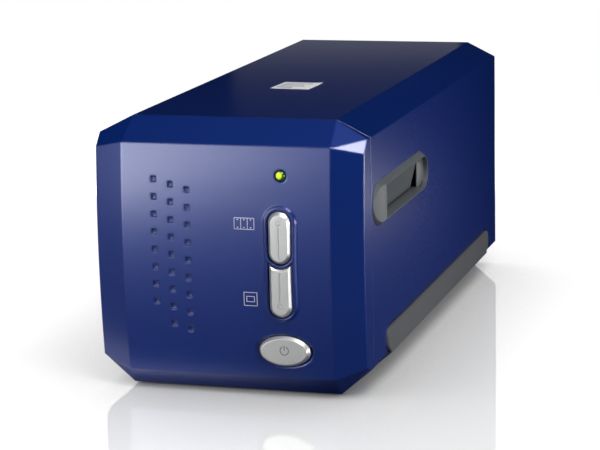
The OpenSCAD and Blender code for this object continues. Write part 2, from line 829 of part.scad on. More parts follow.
// Tabs that stop the cap behind the fascia, and the stem that presses the switch
module button_back(z) {
    for (side = [-1, 1])
        block([button_x + side * (button_w / 2 + 0.6) - 1.4, tab_y, z - 4],
            [button_x + side * (button_w / 2 + 0.6) + 1.4, cap_back_y, z + 4]);
    rod_y(2, button_x, z, cap_back_y - 0.5, stem_tip_y);
}

// Ring and line pressed into a scan button's face
module button_mark(ring_z, line_z0, line_z1) {
    y = front_y - button_proud;
    depth = 0.2;
    difference() {
        rod_y(1.2, button_x, ring_z, y - over, y + depth);
        rod_y(0.8, button_x, ring_z, y - 2 * over, y + 2 * depth);
    }
    block([button_x - 0.2, y - over, line_z0], [button_x + 0.2, y + depth, line_z1]);
}

module scan_button_upper() {
    face_y = front_y - button_proud;
    color(silver) difference() {
        union() {
            beveled_stadium(button_w, upper_low_z, upper_top_z, face_y, cap_back_y, button_bevel, button_proud);
            button_back(upper_z);
        }
        button_mark(upper_top_z - button_w / 2, upper_low_z + 2, upper_top_z - button_w / 2 - 2);
    }
}

module scan_button_lower() {
    face_y = front_y - button_proud;
    hug_bevel = button_bevel / 2;
    color(silver) difference() {
        union() {
            difference() {
                beveled_stadium(button_w, lower_low_z, end_z + button_w / 2, face_y, cap_back_y, button_bevel, button_proud);
                rod_y(hug_r, button_x, end_z, face_y - over, cap_back_y + over);
                rod_y(hug_r + hug_bevel + over, button_x, end_z, face_y - over, face_y + hug_bevel, hug_r);
            }
            button_back(lower_z - 2);
        }
        button_mark(lower_low_z + button_w / 2, lower_low_z + button_w / 2 + 2, end_z - hug_r - 1.5);
    }
}

module power_button() {
    face_y = power_y - power_proud;
    back = power_y + 6;
    inner_y = crown_y(power_z - power_h / 2) + wall;
    color(silver) {
        hull() {
            along_y(face_y, face_y + 0.3) translate([power_x, power_z])
                oval(power_w - 2 * power_bevel, power_h - 2 * power_bevel);
            along_y(power_y - 0.1, power_y + 0.2) translate([power_x, power_z])
                oval(power_w, power_h);
        }
        along_y(power_y + 0.1, back) translate([power_x, power_z]) oval(power_w, power_h);
        block([power_x - power_w / 2 - 2, inner_y + free_gap, power_z - 2],
            [power_x + power_w / 2 + 2, back, power_z + 2]);
        rod_y(2, power_x, power_z, back - 0.5, stem_tip_y);
    }
}

module led_lens() {
    y = crown_y(led_z);
    color("#a5cc1e") {
        intersection() {
            translate([led_x, y + led_r * 0.7, led_z]) sphere(led_r * 1.2, $fn = round_fn);
            rod_y(led_r, led_x, led_z, y - led_r, y + led_r);
        }
        rod_y(led_r, led_x, led_z, y + 0.6, y + wall + 0.6);
        rod_y(led_r + 1, led_x, led_z, y + wall + free_gap + 0.2, y + wall + 1.6);
        rod_y(led_r * 0.7, led_x, led_z, y + wall, key_board_y - free_gap);
    }
}

switch_spots = [[button_x, upper_z], [button_x, lower_z - 2], [power_x, power_z]];

module button_board() {
    z0 = power_z - 6;
    z1 = led_z + 6;
    color(green) difference() {
        block([button_x - key_board_w / 2, key_board_y, z0], [button_x + key_board_w / 2, key_board_y + board_t, z1]);
        for (post = key_posts) rod_y(1.1, post[0], post[1], key_board_y - over, key_board_y + board_t + over);
    }
}

module button_switches() {
    size = 6;
    color(black) for (spot = switch_spots) {
        block([spot[0] - size / 2, key_board_y - switch_h, spot[1] - size / 2],
            [spot[0] + size / 2, key_board_y, spot[1] + size / 2]);
        rod_y(1.75, spot[0], spot[1], key_board_y - switch_h - 1.4, key_board_y - switch_h + 0.2);
    }
}

// ---- Main board and sockets ----

module main_board() {
    color(green) difference() {
        block([-main_w / 2, main_y0, main_z], [main_w / 2, main_y1, main_z + board_t]);
        for (spot = main_spots) rod_z(1.2, spot[0], spot[1], main_z - over, main_z + board_t + over);
        for (spot = boss_spots) rod_z(boss_r + 1, spot[0], spot[1], main_z - over, main_z + board_t + over);
    }
}

module board_chips() {
    top = main_z + board_t;
    mid = (main_y0 + main_y1) / 2;
    edge = main_w / 2 - 8;
    color(black) {
        block([-10, mid - 22, top], [10, mid - 2, top + 2]);
        block([-edge + 4, mid - 20, top], [-edge + 14, mid - 8, top + 1.4]);
        block([edge - 18, mid - 30, top], [edge - 8, mid - 18, top + 1.4]);
        block([edge - 10, mid + 4, top], [edge, mid + 14, top + 4.5]);
        for (spot = [[-edge, 8], [-edge, 20], [edge, 26], [-8, 12]]) rod_z(3.2, spot[0], mid + spot[1], top, top + 7);
    }
}

module usb_socket() {
    x = -data_x;
    y0 = rear_y - data_d;
    skin = 0.6;
    color(silver) difference() {
        block([x - data_w / 2, y0, socket_z], [x + data_w / 2, rear_y, socket_z + data_h]);
        difference() {
            along_y(y0 + 3, rear_y + over) polygon([
                [x - data_w / 2 + skin + 1.2, socket_z + skin + 0.9], [x + data_w / 2 - skin - 1.2, socket_z + skin + 0.9],
                [x + data_w / 2 - skin - 1.2, socket_z + data_h - skin - 2.6],
                [x + data_w / 2 - skin - 2.8, socket_z + data_h - skin - 0.9],
                [x - data_w / 2 + skin + 2.8, socket_z + data_h - skin - 0.9],
                [x - data_w / 2 + skin + 1.2, socket_z + data_h - skin - 2.6]
            ]);
            block([x - 2.8, y0, socket_z + data_h / 2 - 1.6], [x + 2.8, rear_y - 0.8, socket_z + data_h / 2 + 1.6]);
        }
    }
}

module dc_jack() {
    y0 = rear_y - inlet_d;
    z = socket_z + inlet_h / 2 + 0.6;
    color(black) {
        difference() {
            block([inlet_x - inlet_w / 2, y0, socket_z], [inlet_x + inlet_w / 2, rear_y, socket_z + inlet_h]);
            rod_y(3.1, inlet_x, z, y0 + 3, rear_y + over);
        }
        rod_y(1, inlet_x, z, y0 + 2, rear_y - 1.5);
    }
}

// ---- Deck and guide rods ----

deck_top = deck_z + deck_t;
motor_y = front_y + motor_back;
idler_y = motor_y + pulley_span;
belt_x = half_w - belt_in;
rod_x = half_w - rod_in;
shaft_boss_r = 5;
idler_pin_r = 2;

module deck_plate() {
    slots = 3;
    color(steel) difference() {
        union() {
            block([-deck_w / 2, deck_y0, deck_z], [deck_w / 2, deck_y1, deck_top]);
            for (y = [deck_y0, deck_y1 - deck_t], side = [-1, 1])
                translate([side * rod_x, y, deck_top - 0.5]) translate([-9, 0, 0])
                    cube([18, deck_t, bracket_h + 0.5]);
        }
        for (side = [-1, 1])
            rod_y(rod_r + 0.02, side * rod_x, rod_z, deck_y0 - over, deck_y1 + over);
        for (spot = boss_spots) rod_z(screw_r + 0.3, spot[0], spot[1], deck_z - over, deck_top + over);
        rod_z(shaft_boss_r + 0.2, belt_x, motor_y, deck_z - over, deck_top + over);
        rod_z(idler_pin_r + 0.02, belt_x, idler_y, deck_z - over, deck_top + over);
        for (i = [0:slots - 1])
            translate([-12, deck_y0 + deck_l * (0.28 + i * 0.228), deck_z - over])
                linear_extrude(deck_t + 2 * over) rotate(90) stadium(40, 16);
    }
}

module deck_screws() {
    color(steel) for (spot = boss_spots) {
        rod_z(screw_r, spot[0], spot[1], deck_z - 8, deck_top + 0.2);
        rod_z(2 * screw_r, spot[0], spot[1], deck_top, deck_top + 1.3 * screw_r);
    }
}

module guide_rod(side) {
    color(silver) rod_y(rod_r, side * rod_x, rod_z, deck_y0 - 1, deck_y1 + 1);
}

module guide_rod_left() {
    guide_rod(-1);
}

module guide_rod_right() {
    guide_rod(1);
}

guide_half = half_w - guide_end;
floor_low = mouth_low_z - guide_floor_t;

module film_guide() {
    half = guide_w / 2 + guide_wall_t;
    color(black) difference() {
        union() {
            block([-guide_half, slot_y - half, floor_low], [guide_half, slot_y + half, mouth_low_z]);
            for (side = [-1, 1])
                translate([0, slot_y + side * (half - guide_wall_t / 2), 0])
                    block([-guide_half, -guide_wall_t / 2, floor_low], [guide_half, guide_wall_t / 2, mouth_low_z + guide_wall_h]);
            for (sx = [-1, 1], sy = [-1, 1])
                translate([sx * (guide_half - post_side / 2), slot_y + sy * (half - post_side / 2), deck_top])
                    translate([-post_side / 2, -post_side / 2, 0])
                        cube([post_side, post_side, floor_low - deck_top + 0.5]);
        }
        block([-window_l / 2, slot_y - window_w / 2, floor_low - over],
            [window_l / 2, slot_y + window_w / 2, mouth_low_z + over]);
        // flared ends that lead the holder in
        for (sx = [-1, 1], sy = [-1, 1])
            translate([sx * guide_half, slot_y + sy * guide_w / 2, mouth_low_z])
                rotate(45) translate([-1, -1, 0]) cube([2, 2, guide_wall_h + over]);
    }
}

// ---- Optical carriage ----

scan_y = slot_y - travel / 2;                  // scan line with the carriage at its front stop
tray_y0 = scan_y - scan_in;
tray_y1 = deck_y1 - deck_t - travel - tray_gap;
lid_t = 1.6;
tray_top = floor_low - lid_gap - lid_t;
axis_z = (tray_z + tray_top) / 2 + axis_up;
arm_z = mouth_low_z + guide_wall_h + arm_gap;
column_y0 = slot_y + guide_w / 2 + guide_wall_t + 1.2;
column_t = 10;
slit_w = 7;
lug_l = 14;
lug_spots = [scan_y - 2, tray_y1 - 2 * lug_l - 9];
foot_y = (tray_y0 + tray_y1) / 2;
bush_t = 1.6;
bush_r = rod_r + bush_t;
clamp_y = scan_y + 26;
run_x = belt_x + pulley_r + free_gap + belt_t / 2;      // middle of the belt run that pulls the carriage
belt_z0 = deck_top + 1.2;
belt_z1 = belt_z0 + belt_w;

module carriage_tray() {
    inner = tray_w / 2 - tray_wall;
    rib_z = tray_z + tray_wall - 0.2;
    color(black) difference() {
        union() {
            difference() {
                block([-tray_w / 2, tray_y0, tray_z], [tray_w / 2, tray_y1, tray_top]);
                block([-inner, tray_y0 + tray_wall, tray_z + tray_wall], [inner, tray_y1 + over, tray_top + over]);
            }
            // column and arm that carry the lamp over the film channel
            difference() {
                block([-tray_w / 2, column_y0, tray_top - 4], [tray_w / 2, column_y0 + column_t, arm_z + arm_t]);
                block([-inner, column_y0 - over, tray_top - 4 - over], [inner, column_y0 + column_t - tray_wall, arm_z]);
            }
            block([-tray_w / 2, scan_y - lamp_l / 2, arm_z], [tray_w / 2, column_y0 + 0.5, arm_z + arm_t]);
            for (side = [-1, 1])
                translate([side * (tray_w / 2 - 1), 0, 0])
                    block([-1, scan_y + lamp_l / 2 + 1, arm_z + arm_t - 0.2], [1, column_y0 + column_t, arm_z + arm_t + 3]);
            // lugs on the main rod, foot on the second rod, ledge for the belt clamp
            for (y = lug_spots)
                block([-rod_x - bush_r - 1.6, y, rod_z - bush_r - 1.4], [-tray_w / 2 + 0.5, y + lug_l, rod_z + bush_r + 1.4]);
            block([tray_w / 2 - 0.5, foot_y - 5, rod_z - rod_r - 2.6], [rod_x + 3.6, foot_y + 5, rod_z + rod_r + 2.6]);
            block([tray_w / 2 - 0.5, clamp_y - 8, tray_z], [run_x + 3.5, clamp_y + 8, tray_z + 3.2]);
            // slanted ribs under the mirror
            for (side = [-1, 1])
                along_x(side < 0 ? -inner - 0.3 : inner - 3, side < 0 ? -inner + 3 : inner + 0.3)
                    polygon([
                        [scan_y - 13, rib_z], [scan_y + axis_z - rib_z - mirror_t * sqrt(2), rib_z],
                        [scan_y - 13, axis_z + 13 - mirror_t * sqrt(2)]
                    ]);
            // cradle under the lens
            block([-lens_r - 2, scan_y + lens_out + 2, tray_z + tray_wall - 0.2],
                [lens_r + 2, scan_y + lens_out + lens_l - 2, axis_z - 2]);
        }
        for (y = lug_spots) rod_y(bush_r, -rod_x, rod_z, y - over, y + lug_l + over);
        block([rod_x - rod_r - 0.4, foot_y - 5 - over, rod_z - rod_r - run_gap],
            [rod_x + 5, foot_y + 5 + over, rod_z + rod_r + run_gap]);
        block([-slit_w * 3, scan_y - slit_w / 2, arm_z - over], [slit_w * 3, scan_y + slit_w / 2, arm_z + arm_t + over]);
        rod_y(lens_r, 0, axis_z, scan_y + lens_out - over, scan_y + lens_out + lens_l + over);
    }
}

module carriage_lid() {
    inset = 0.2;
    color(black) difference() {
        block([-tray_w / 2 + inset, tray_y0 + inset, tray_top], [tray_w / 2 - inset, tray_y1 - inset, tray_top + lid_t]);
        block([-slit_w * 3, scan_y - slit_w / 2, tray_top - over], [slit_w * 3, scan_y + slit_w / 2, tray_top + lid_t + over]);
        block([-tray_w / 2 - over, column_y0 - 0.3, tray_top - over],
            [tray_w / 2 + over, column_y0 + column_t + 0.3, tray_top + lid_t + over]);
    }
}

module rod_bushings() {
    color("#b08d57") for (y = lug_spots) difference() {
        rod_y(bush_r, -rod_x, rod_z, y, y + lug_l);
        rod_y(rod_r + run_gap, -rod_x, rod_z, y - over, y + lug_l + over);
    }
}

module lamp_housing() {
    z0 = arm_z + arm_t;
    skin = 1.6;
    y0 = scan_y - lamp_l / 2;
    y1 = scan_y + lamp_l / 2;
    color(grey) difference() {
        block([-tray_w / 2, y0, z0], [tray_w / 2, y1, z0 + lamp_h]);
        block([-tray_w / 2 + skin, y0 + skin, z0 - over], [tray_w / 2 - skin, y1 - skin, z0 + lamp_h - skin]);
        for (i = [-3:3])
            translate([i * 6, y0 - over, z0 + lamp_h - 5]) cube([3, 2 * over + skin, 2]);
    }
}

module lamp_diffuser() {
    z = arm_z + arm_t;
    color("#f4f4ee") {
        block([-slit_w * 3 + 0.2, scan_y - slit_w / 2 + 0.2, z - 2], [slit_w * 3 - 0.2, scan_y + slit_w / 2 - 0.2, z + 0.2]);
        block([-slit_w * 3 - 2, scan_y - slit_w / 2 - 2, z], [slit_w * 3 + 2, scan_y + slit_w / 2 + 2, z + 1.4]);
    }
}

module lamp_board() {
    z = arm_z + arm_t + lamp_h - 1.6;
    lamps = 8;
    color("#e8e8e4") {
        block([-tray_w / 2 + 2.2, scan_y - lamp_l / 2 + 2.2, z - board_t], [tray_w / 2 - 2.2, scan_y + lamp_l / 2 - 2.2, z]);
        for (i = [0:lamps - 1])
            translate([(i - (lamps - 1) / 2) * 5.2, scan_y, z - board_t - 1.2])
                translate([-1.5, -1.5, 0]) cube([3, 3, 1.4]);
    }
}

module scan_mirror() {
    length = tray_w - 2 * tray_wall - 0.4;
    reach = 24;
    color("#dfe6ea") translate([0, scan_y, axis_z]) rotate([-45, 0, 0])
        block([-length / 2, -reach / 2, -mirror_t], [length / 2, reach / 2, 0]);
}

module lens_barrel() {
    y0 = scan_y + lens_out;
    color(black) difference() {
        union() {
            rod_y(lens_r, 0, axis_z, y0, y0 + lens_l);
        }
        rod_y(lens_r - 2.5, 0, axis_z, y0 - over, y0 + lens_l + over);
    }
}

module lens_glass() {
    y0 = scan_y + lens_out;
    curve_r = 18;
    color("#bcd3e6") for (y = [y0 + 2, y0 + lens_l - 6])
        intersection() {
            rod_y(lens_r - 2.5, 0, axis_z, y, y + 4);
            translate([0, y + curve_r, axis_z]) sphere(curve_r, $fn = round_fn * 2);
        }
}

module lens_clamp() {
    y0 = scan_y + lens_out + 7;
    t = 1;
    color(steel) difference() {
        union() {
            rod_y(lens_r + t, 0, axis_z, y0, y0 + 10);
            block([-lens_r - 2, y0, axis_z - 2], [lens_r + 2, y0 + 10, axis_z - 2 + t]);
        }
        rod_y(lens_r, 0, axis_z, y0 - over, y0 + 10 + over);
        block([-2 * lens_r, y0 - over, axis_z - 2 * lens_r], [2 * lens_r, y0 + 10 + over, axis_z - 2]);
    }
}

module sensor_board() {
    inner = tray_w / 2 - tray_wall;
    color(green) block([-inner + 0.2, tray_y1 - board_t - 1, tray_z + tray_wall + 0.2], [inner - 0.2, tray_y1 - 1, tray_top - 0.2]);
}

module sensor_chip() {
    y1 = tray_y1 - board_t - 1;
    color(black) block([-21, y1 - 3.4, axis_z - 5], [21, y1, axis_z + 5]);
}

module belt_clamp() {
    slot = belt_t / 2 + free_gap;
    color(black) difference() {
        block([run_x - 3, clamp_y - 5, belt_z0 - 0.6], [run_x + 3, clamp_y + 5, tray_z]);
        block([run_x - slot, clamp_y - 5 - over, belt_z0 - over], [run_x + slot, clamp_y + 5 + over, belt_z1 + free_gap]);
    }
}

// ---- Drive ----

module stepper_motor() {
    ear = 4;
    color(steel) difference() {
        union() {
            rod_z(motor_r, belt_x, motor_y, deck_z - motor_h, deck_z - 1.2);
            translate([belt_x, motor_y, deck_z - 1.2]) linear_extrude(1.2)
                rotate(90) stadium(2 * motor_r + 2 * ear, 2 * motor_r - 1);
            rod_z(shaft_boss_r, belt_x, motor_y, deck_z - 0.5, deck_top);
        }
        rod_z(shaft_r + run_gap, belt_x, motor_y, deck_z - 10, deck_top + over);
    }
}

module motor_shaft() {
    color(silver) rod_z(shaft_r, belt_x, motor_y, deck_z - 9.7, belt_z1 + 1.2);
}

// Toothed pulley between two flanges, turned about an upright axis
module pulley(y, bore) {
    flange_r = pulley_r + free_gap + belt_t - 0.2;
    tooth_r = PI * pulley_r / pulley_teeth / 2;
    difference() {
        union() {
            rod_z(flange_r, belt_x, y, belt_z0 - free_gap - 0.6, belt_z0 - free_gap);
            difference() {
                rod_z(pulley_r, belt_x, y, belt_z0 - free_gap - 0.3, belt_z1 + free_gap + 0.3);
                for (i = [0:pulley_teeth - 1])
                    translate([belt_x, y, belt_z0 - over]) rotate(360 * i / pulley_teeth)
                        translate([pulley_r, 0, 0]) cylinder(h = belt_w + 2 * over, r = tooth_r, $fn = 16);
            }
            rod_z(flange_r, belt_x, y, belt_z1 + free_gap, belt_z1 + free_gap + 0.6);
        }
        rod_z(bore, belt_x, y, deck_z, belt_z1 + 5);
    }
}

module motor_pulley() {
    color(silver) pulley(motor_y, shaft_r);
}

module idler_pulley() {
    color(grey) pulley(idler_y, idler_pin_r + run_gap);
}

module idler_pin() {
    color(silver) {
        rod_z(idler_pin_r, belt_x, idler_y, deck_z, belt_z1 + 2 * free_gap + 1);
        rod_z(idler_pin_r + 1.4, belt_x, idler_y, belt_z1 + 2 * free_gap + 0.6, belt_z1 + 2 * free_gap + 1.2);
    }
}

module drive_belt() {
    inner_r = pulley_r + free_gap;
    color(black) translate([belt_x, (motor_y + idler_y) / 2, belt_z0]) linear_extrude(belt_w)
        difference() {
            rotate(90) stadium(pulley_span + 2 * (inner_r + belt_t), 2 * (inner_r + belt_t));
            rotate(90) stadium(pulley_span + 2 * inner_r, 2 * inner_r);
        }
}

case_shell();
base_tray();
front_fascia();
rear_panel();
slot_bezel_right();
slot_bezel_left();
dust_flap_right();
dust_flap_left();
flap_pin_right();
flap_pin_left();
side_strip_right();
side_strip_left();
led_lens();
scan_button_upper();
scan_button_lower();
power_button();
button_board();
button_switches();
main_board();
board_chips();
usb_socket();
dc_jack();
deck_plate();
deck_screws();
guide_rod_left();
guide_rod_right();
film_guide();
carriage_tray();
carriage_lid();
rod_bushings();
lamp_housing();
lamp_diffuser();
lamp_board();
scan_mirror();
lens_barrel();
lens_glass();
lens_clamp();
sensor_board();
sensor_chip();
belt_clamp();
stepper_motor();
motor_shaft();
motor_pulley();
drive_belt();
idler_pulley();
idler_pin();
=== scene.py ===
"""Looks of a desktop scanner for film strips and slides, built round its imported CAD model.

The CAD nodes keep their solids and take worked finishes. Paper, printing, screws and contacts,
which are too thin or too small for the solids, are made here as surfaces worked out with numpy.
"""

import logging
import math
from dataclasses import dataclass
from enum import Enum
from typing import Callable

import bmesh
import bpy
import numpy as np
from mathutils import Matrix, Vector


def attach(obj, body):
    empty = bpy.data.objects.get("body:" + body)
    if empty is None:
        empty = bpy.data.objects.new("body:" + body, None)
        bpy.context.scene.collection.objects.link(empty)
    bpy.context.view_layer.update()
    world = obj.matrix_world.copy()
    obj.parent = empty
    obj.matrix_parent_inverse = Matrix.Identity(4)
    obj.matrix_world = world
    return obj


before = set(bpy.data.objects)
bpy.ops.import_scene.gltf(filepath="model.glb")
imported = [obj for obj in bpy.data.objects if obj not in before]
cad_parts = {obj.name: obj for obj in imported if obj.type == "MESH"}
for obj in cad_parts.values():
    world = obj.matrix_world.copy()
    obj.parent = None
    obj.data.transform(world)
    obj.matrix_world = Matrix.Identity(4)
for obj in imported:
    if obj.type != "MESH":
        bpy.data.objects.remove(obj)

MM = 0.001
LOG = logging.getLogger("scanner")

Pair = tuple[float, float]
Triple = tuple[float, float, float]
Bar = tuple[Pair, Pair]
Surface = Callable[[np.ndarray, np.ndarray], np.ndarray]

# Sizes that the scene shares with the solids, in millimetres
FRONT_Y = -134.4
CROWN_R = 470.0
CROWN_MID_Z = 60.0
TOP_Z = 119.0
REAR_Y = 135.0
BASE_Z = 1.0

# How far printing and contacts stand off the face under them, in millimetres
INK_GAP = 0.02


def linear(hex_code: str, alpha: float = 1.0) -> tuple[float, float, float, float]:
    """Turn an sRGB hex colour into linear light.

    Args:
        hex_code: The colour as "#rrggbb".
        alpha: The fourth value.

    Returns:
        Red, green, blue and alpha, linear.
    """
    parts = [int(hex_code[i:i + 2], 16) / 255 for i in (1, 3, 5)]
    return (*[c / 12.92 if c <= 0.04045 else ((c + 0.055) / 1.055) ** 2.4 for c in parts], alpha)


def crown_y(z: float | np.ndarray) -> float | np.ndarray:
    """Give the y of the crowned front at a height: the crown's circle seen from the side.

    Args:
        z: Height or heights in millimetres.

    Returns:
        The y of the surface in millimetres.
    """
    return FRONT_Y + CROWN_R - np.sqrt(CROWN_R ** 2 - (z - CROWN_MID_Z) ** 2)


# ---- Materials ----


def put(tree: bpy.types.NodeTree, kind: str, sockets: dict | None = None,
        **settings) -> bpy.types.Node:
    """Add a node with its settings and links.

    Args:
        tree: The tree that gets the node.
        kind: The node's type name.
        sockets: Input name or number to a value, or to an output that feeds it.
        settings: The node's own properties.

    Returns:
        The new node.
    """
    made = tree.nodes.new(kind)
    for key, value in settings.items():
        setattr(made, key, value)
    for key, value in (sockets or {}).items():
        if isinstance(value, bpy.types.NodeSocket):
            tree.links.new(value, made.inputs[key])
        else:
            made.inputs[key].default_value = value
    return made


def work_out(tree: bpy.types.NodeTree, operation: str,
             *values: float | bpy.types.NodeSocket) -> bpy.types.NodeSocket:
    """Add a math node and give its result.

    Args:
        tree: The tree that gets the node.
        operation: The math node's operation.
        values: What goes into it, in order.

    Returns:
        The socket with the result.
    """
    return put(tree, "ShaderNodeMath", dict(enumerate(values)), operation=operation).outputs[0]


class Grain(Enum):
    """How a surface was made, which decides the shape of its finest relief."""

    SPARK = "spark-eroded mould"
    MATT = "blasted mould"
    POLISHED = "polished mould"
    BRUSHED_X = "brushed across"
    BRUSHED_Y = "ground along"
    TURNED = "turned"
    FOIL = "printed or coated sheet"


# How much a grain is drawn out along each axis; the other grains are the same all ways
STRETCH = {
    Grain.BRUSHED_X: (0.03, 1.0, 1.0),
    Grain.BRUSHED_Y: (1.0, 0.03, 1.0),
    Grain.TURNED: (0.25, 0.25, 1.0),
}

# The part of the noise's range over which the gloss drifts
NOISE_LOW, NOISE_HIGH = 0.3, 0.7
LEAST_ROUGHNESS = 0.02
# How far light scatters in an opal plastic, in metres
SCATTER_M = 0.002
BEVEL_SAMPLES = 6


@dataclass(frozen=True)
class Finish:
    """A real material and how its surface was made, as numbers for one shader."""

    name: str
    color: str
    roughness: float
    grain: Grain = Grain.MATT
    grain_mm: float = 0.6
    depth_mm: float = 0.004
    metallic: float = 0.0
    ior: float = 1.46
    gleam: str = "#ffffff"
    drift: float = 0.06
    patch_mm: float = 22.0
    rough_drift: float = 0.05
    edge_mm: float = 0.3
    coat: float = 0.0
    coat_roughness: float = 0.1
    coat_ior: float = 1.5
    see_through: float = 0.0
    soft: float = 0.0

    def color_pair(self) -> tuple[tuple, tuple]:
        """Give the darker and the lighter colour that the surface drifts between.

        Returns:
            Two linear colours.
        """
        base = linear(self.color)[:3]
        return ((*[c * (1 - self.drift) for c in base], 1.0),
                (*[min(c * (1 + self.drift), 1.0) for c in base], 1.0))

    def make(self) -> bpy.types.Material:
        """Build the material: drifting colour and gloss over a fine relief, on rounded edges.

        Returns:
            The material.
        """
        mat = bpy.data.materials.new(self.name)
        mat.use_nodes = True
        tree = mat.node_tree
        shader = tree.nodes["Principled BSDF"]
        place = put(tree, "ShaderNodeTexCoord").outputs["Object"]
        stretched = put(tree, "ShaderNodeMapping",
                        {"Vector": place, "Scale": STRETCH.get(self.grain, (1, 1, 1))})
        patches = put(tree, "ShaderNodeTexNoise",
                      {"Vector": place, "Scale": 1 / (self.patch_mm * MM), "Detail": 3.0})
        grain = put(tree, "ShaderNodeTexNoise", {
            "Vector": stretched.outputs[0], "Scale": 1 / (self.grain_mm * MM), "Detail": 2.0})
        dark, light = self.color_pair()
        color = put(tree, "ShaderNodeMix", {0: patches.outputs[0], 6: dark, 7: light},
                    data_type="RGBA")
        gloss = put(tree, "ShaderNodeMapRange", {
            0: grain.outputs[0], 1: NOISE_LOW, 2: NOISE_HIGH,
            3: max(self.roughness - self.rough_drift, LEAST_ROUGHNESS),
            4: self.roughness + self.rough_drift})
        tree.links.new(color.outputs[2], shader.inputs["Base Color"])
        tree.links.new(gloss.outputs[0], shader.inputs["Roughness"])
        shader.inputs["Metallic"].default_value = self.metallic
        shader.inputs["Specular Tint"].default_value = linear(self.gleam)
        if self.coat:
            shader.inputs["Coat Weight"].default_value = self.coat
            shader.inputs["Coat Roughness"].default_value = self.coat_roughness
            shader.inputs["Coat IOR"].default_value = self.coat_ior
        if self.metallic < 1:
            shader.inputs["IOR"].default_value = self.ior
        if self.see_through:
            shader.inputs["Transmission Weight"].default_value = self.see_through
        if self.soft:
            shader.inputs["Subsurface Weight"].default_value = self.soft
            shader.inputs["Subsurface Scale"].default_value = SCATTER_M
        sockets = {"Strength": 1.0, "Distance": self.depth_mm * MM, "Height": grain.outputs[0]}
        if self.edge_mm:
            sockets["Normal"] = put(tree, "ShaderNodeBevel", {"Radius": self.edge_mm * MM},
                                    samples=BEVEL_SAMPLES).outputs[0]
        bump = put(tree, "ShaderNodeBump", sockets)
        tree.links.new(bump.outputs[0], shader.inputs["Normal"])
        if self.coat:
            tree.links.new(bump.outputs[0], shader.inputs["Coat Normal"])
        return mat


@dataclass(frozen=True)
class GlowingLensPaintedHighlight(Finish):
    """A lens lit from behind by a diode, whose glow and a painted highlight sit in a spot left of
    its middle, with painted shade making its right side dark.
    """

    # Colour of the glow with the painted highlight at the spot, and of the painted shade away from
    # it
    lit: str = "#c3d62a"
    dark: str = "#17400a"
    spot: Triple = (24.0, -134.0, 97.3)
    reach_mm: Pair = (1.1, 2.2)
    strength: float = 0.75

    def make(self) -> bpy.types.Material:
        """Build the plain finish, then paint the diode's glow and a highlight round its spot,
        fading with the distance from the spot into painted shade.

        Returns:
            The material.
        """
        mat = super().make()
        tree = mat.node_tree
        shader = tree.nodes["Principled BSDF"]
        place = put(tree, "ShaderNodeTexCoord").outputs["Object"]
        away = put(tree, "ShaderNodeVectorMath",
                   {0: place, 1: tuple(c * MM for c in self.spot)}, operation="DISTANCE")
        near, far = self.reach_mm
        fade = put(tree, "ShaderNodeMapRange",
                   {0: away.outputs["Value"], 1: near * MM, 2: far * MM},
                   interpolation_type="SMOOTHSTEP")
        # Painted highlight with the diode's glow near the spot, painted shade beyond it, in base
        # colour and emission
        color = put(tree, "ShaderNodeMix",
                    {0: fade.outputs[0], 6: linear(self.lit), 7: linear(self.dark)},
                    data_type="RGBA")
        tree.links.new(color.outputs[2], shader.inputs["Base Color"])
        tree.links.new(color.outputs[2], shader.inputs["Emission Color"])
        shader.inputs["Emission Strength"].default_value = self.strength
        return mat


# ABS under a pearl lacquer, navy. The pigment lies under the clear coat, so its own face hardly
# gleams (IOR near 1), and the coat gives the wide satin highlight. The real grain is about
# 0.1 mm, drawn at 0.7 mm so that it breaks the highlight up in the render.
CASE_BLUE = Finish("navy_pearl_lacquer_on_abs", "#062c7c", 0.5, Grain.SPARK, grain_mm=0.7,
                   depth_mm=0.0005, metallic=0.5, ior=1.05, gleam="#5a74e0", drift=0.05,
                   rough_drift=0.02, edge_mm=1.1, coat=1.0, coat_roughness=0.27, coat_ior=1.75)
# ABS from a blasted tool, grey: duller than the case.
TRIM_GREY = Finish("grey_abs_blasted", "#54585b", 0.42, grain_mm=0.5, edge_mm=0.5)
# Thermoplastic rubber: matt and slightly dusty.
SOFT_GREY = Finish("grey_soft_rubber", "#505156", 0.62, grain_mm=0.8, depth_mm=0.008, drift=0.1,
                   edge_mm=0.7)
# Silver lacquer on ABS keys: fine metal flake, soft gleam.
KEY_SILVER = Finish("silver_lacquer_on_abs", "#dcdddd", 0.4, Grain.POLISHED, grain_mm=0.35,
                    depth_mm=0.002, metallic=0.75, edge_mm=0.5, rough_drift=0.06)
# Tinted polycarbonate over a lit green diode, with a painted highlight left of its middle and
# painted shade round it.
LENS_GREEN = GlowingLensPaintedHighlight("green_polycarbonate_lens", "#4c8a08", 0.12, Grain.POLISHED, grain_mm=1.5,
                     depth_mm=0.0005, ior=1.58, edge_mm=0.0)
# Ground steel rods and pins.
ROD_STEEL = Finish("ground_steel", "#b4b7bb", 0.2, Grain.BRUSHED_Y, grain_mm=0.2, depth_mm=0.001,
                   metallic=1.0)
# Sheet steel with bright zinc plating: faint spangle.
ZINC_SHEET = Finish("zinc_plated_steel", "#a9adb2", 0.36, Grain.BRUSHED_X, grain_mm=0.5,
                    depth_mm=0.002, metallic=1.0, patch_mm=9, drift=0.12)
# Glass-fibre laminate under green solder mask.
SOLDER_MASK = Finish("solder_mask_on_laminate", "#1c6a3c", 0.3, Grain.FOIL, grain_mm=0.8,
                     ior=1.5, drift=0.16, patch_mm=4)
# White solder mask of the lamp board.
LAMP_MASK = Finish("white_solder_mask", "#e4e5e0", 0.4, Grain.FOIL, grain_mm=0.8, ior=1.5)
# Moulding compound of chips and sockets.
CHIP_BLACK = Finish("black_moulding_compound", "#1e1e20", 0.5, grain_mm=0.3, edge_mm=0.15)
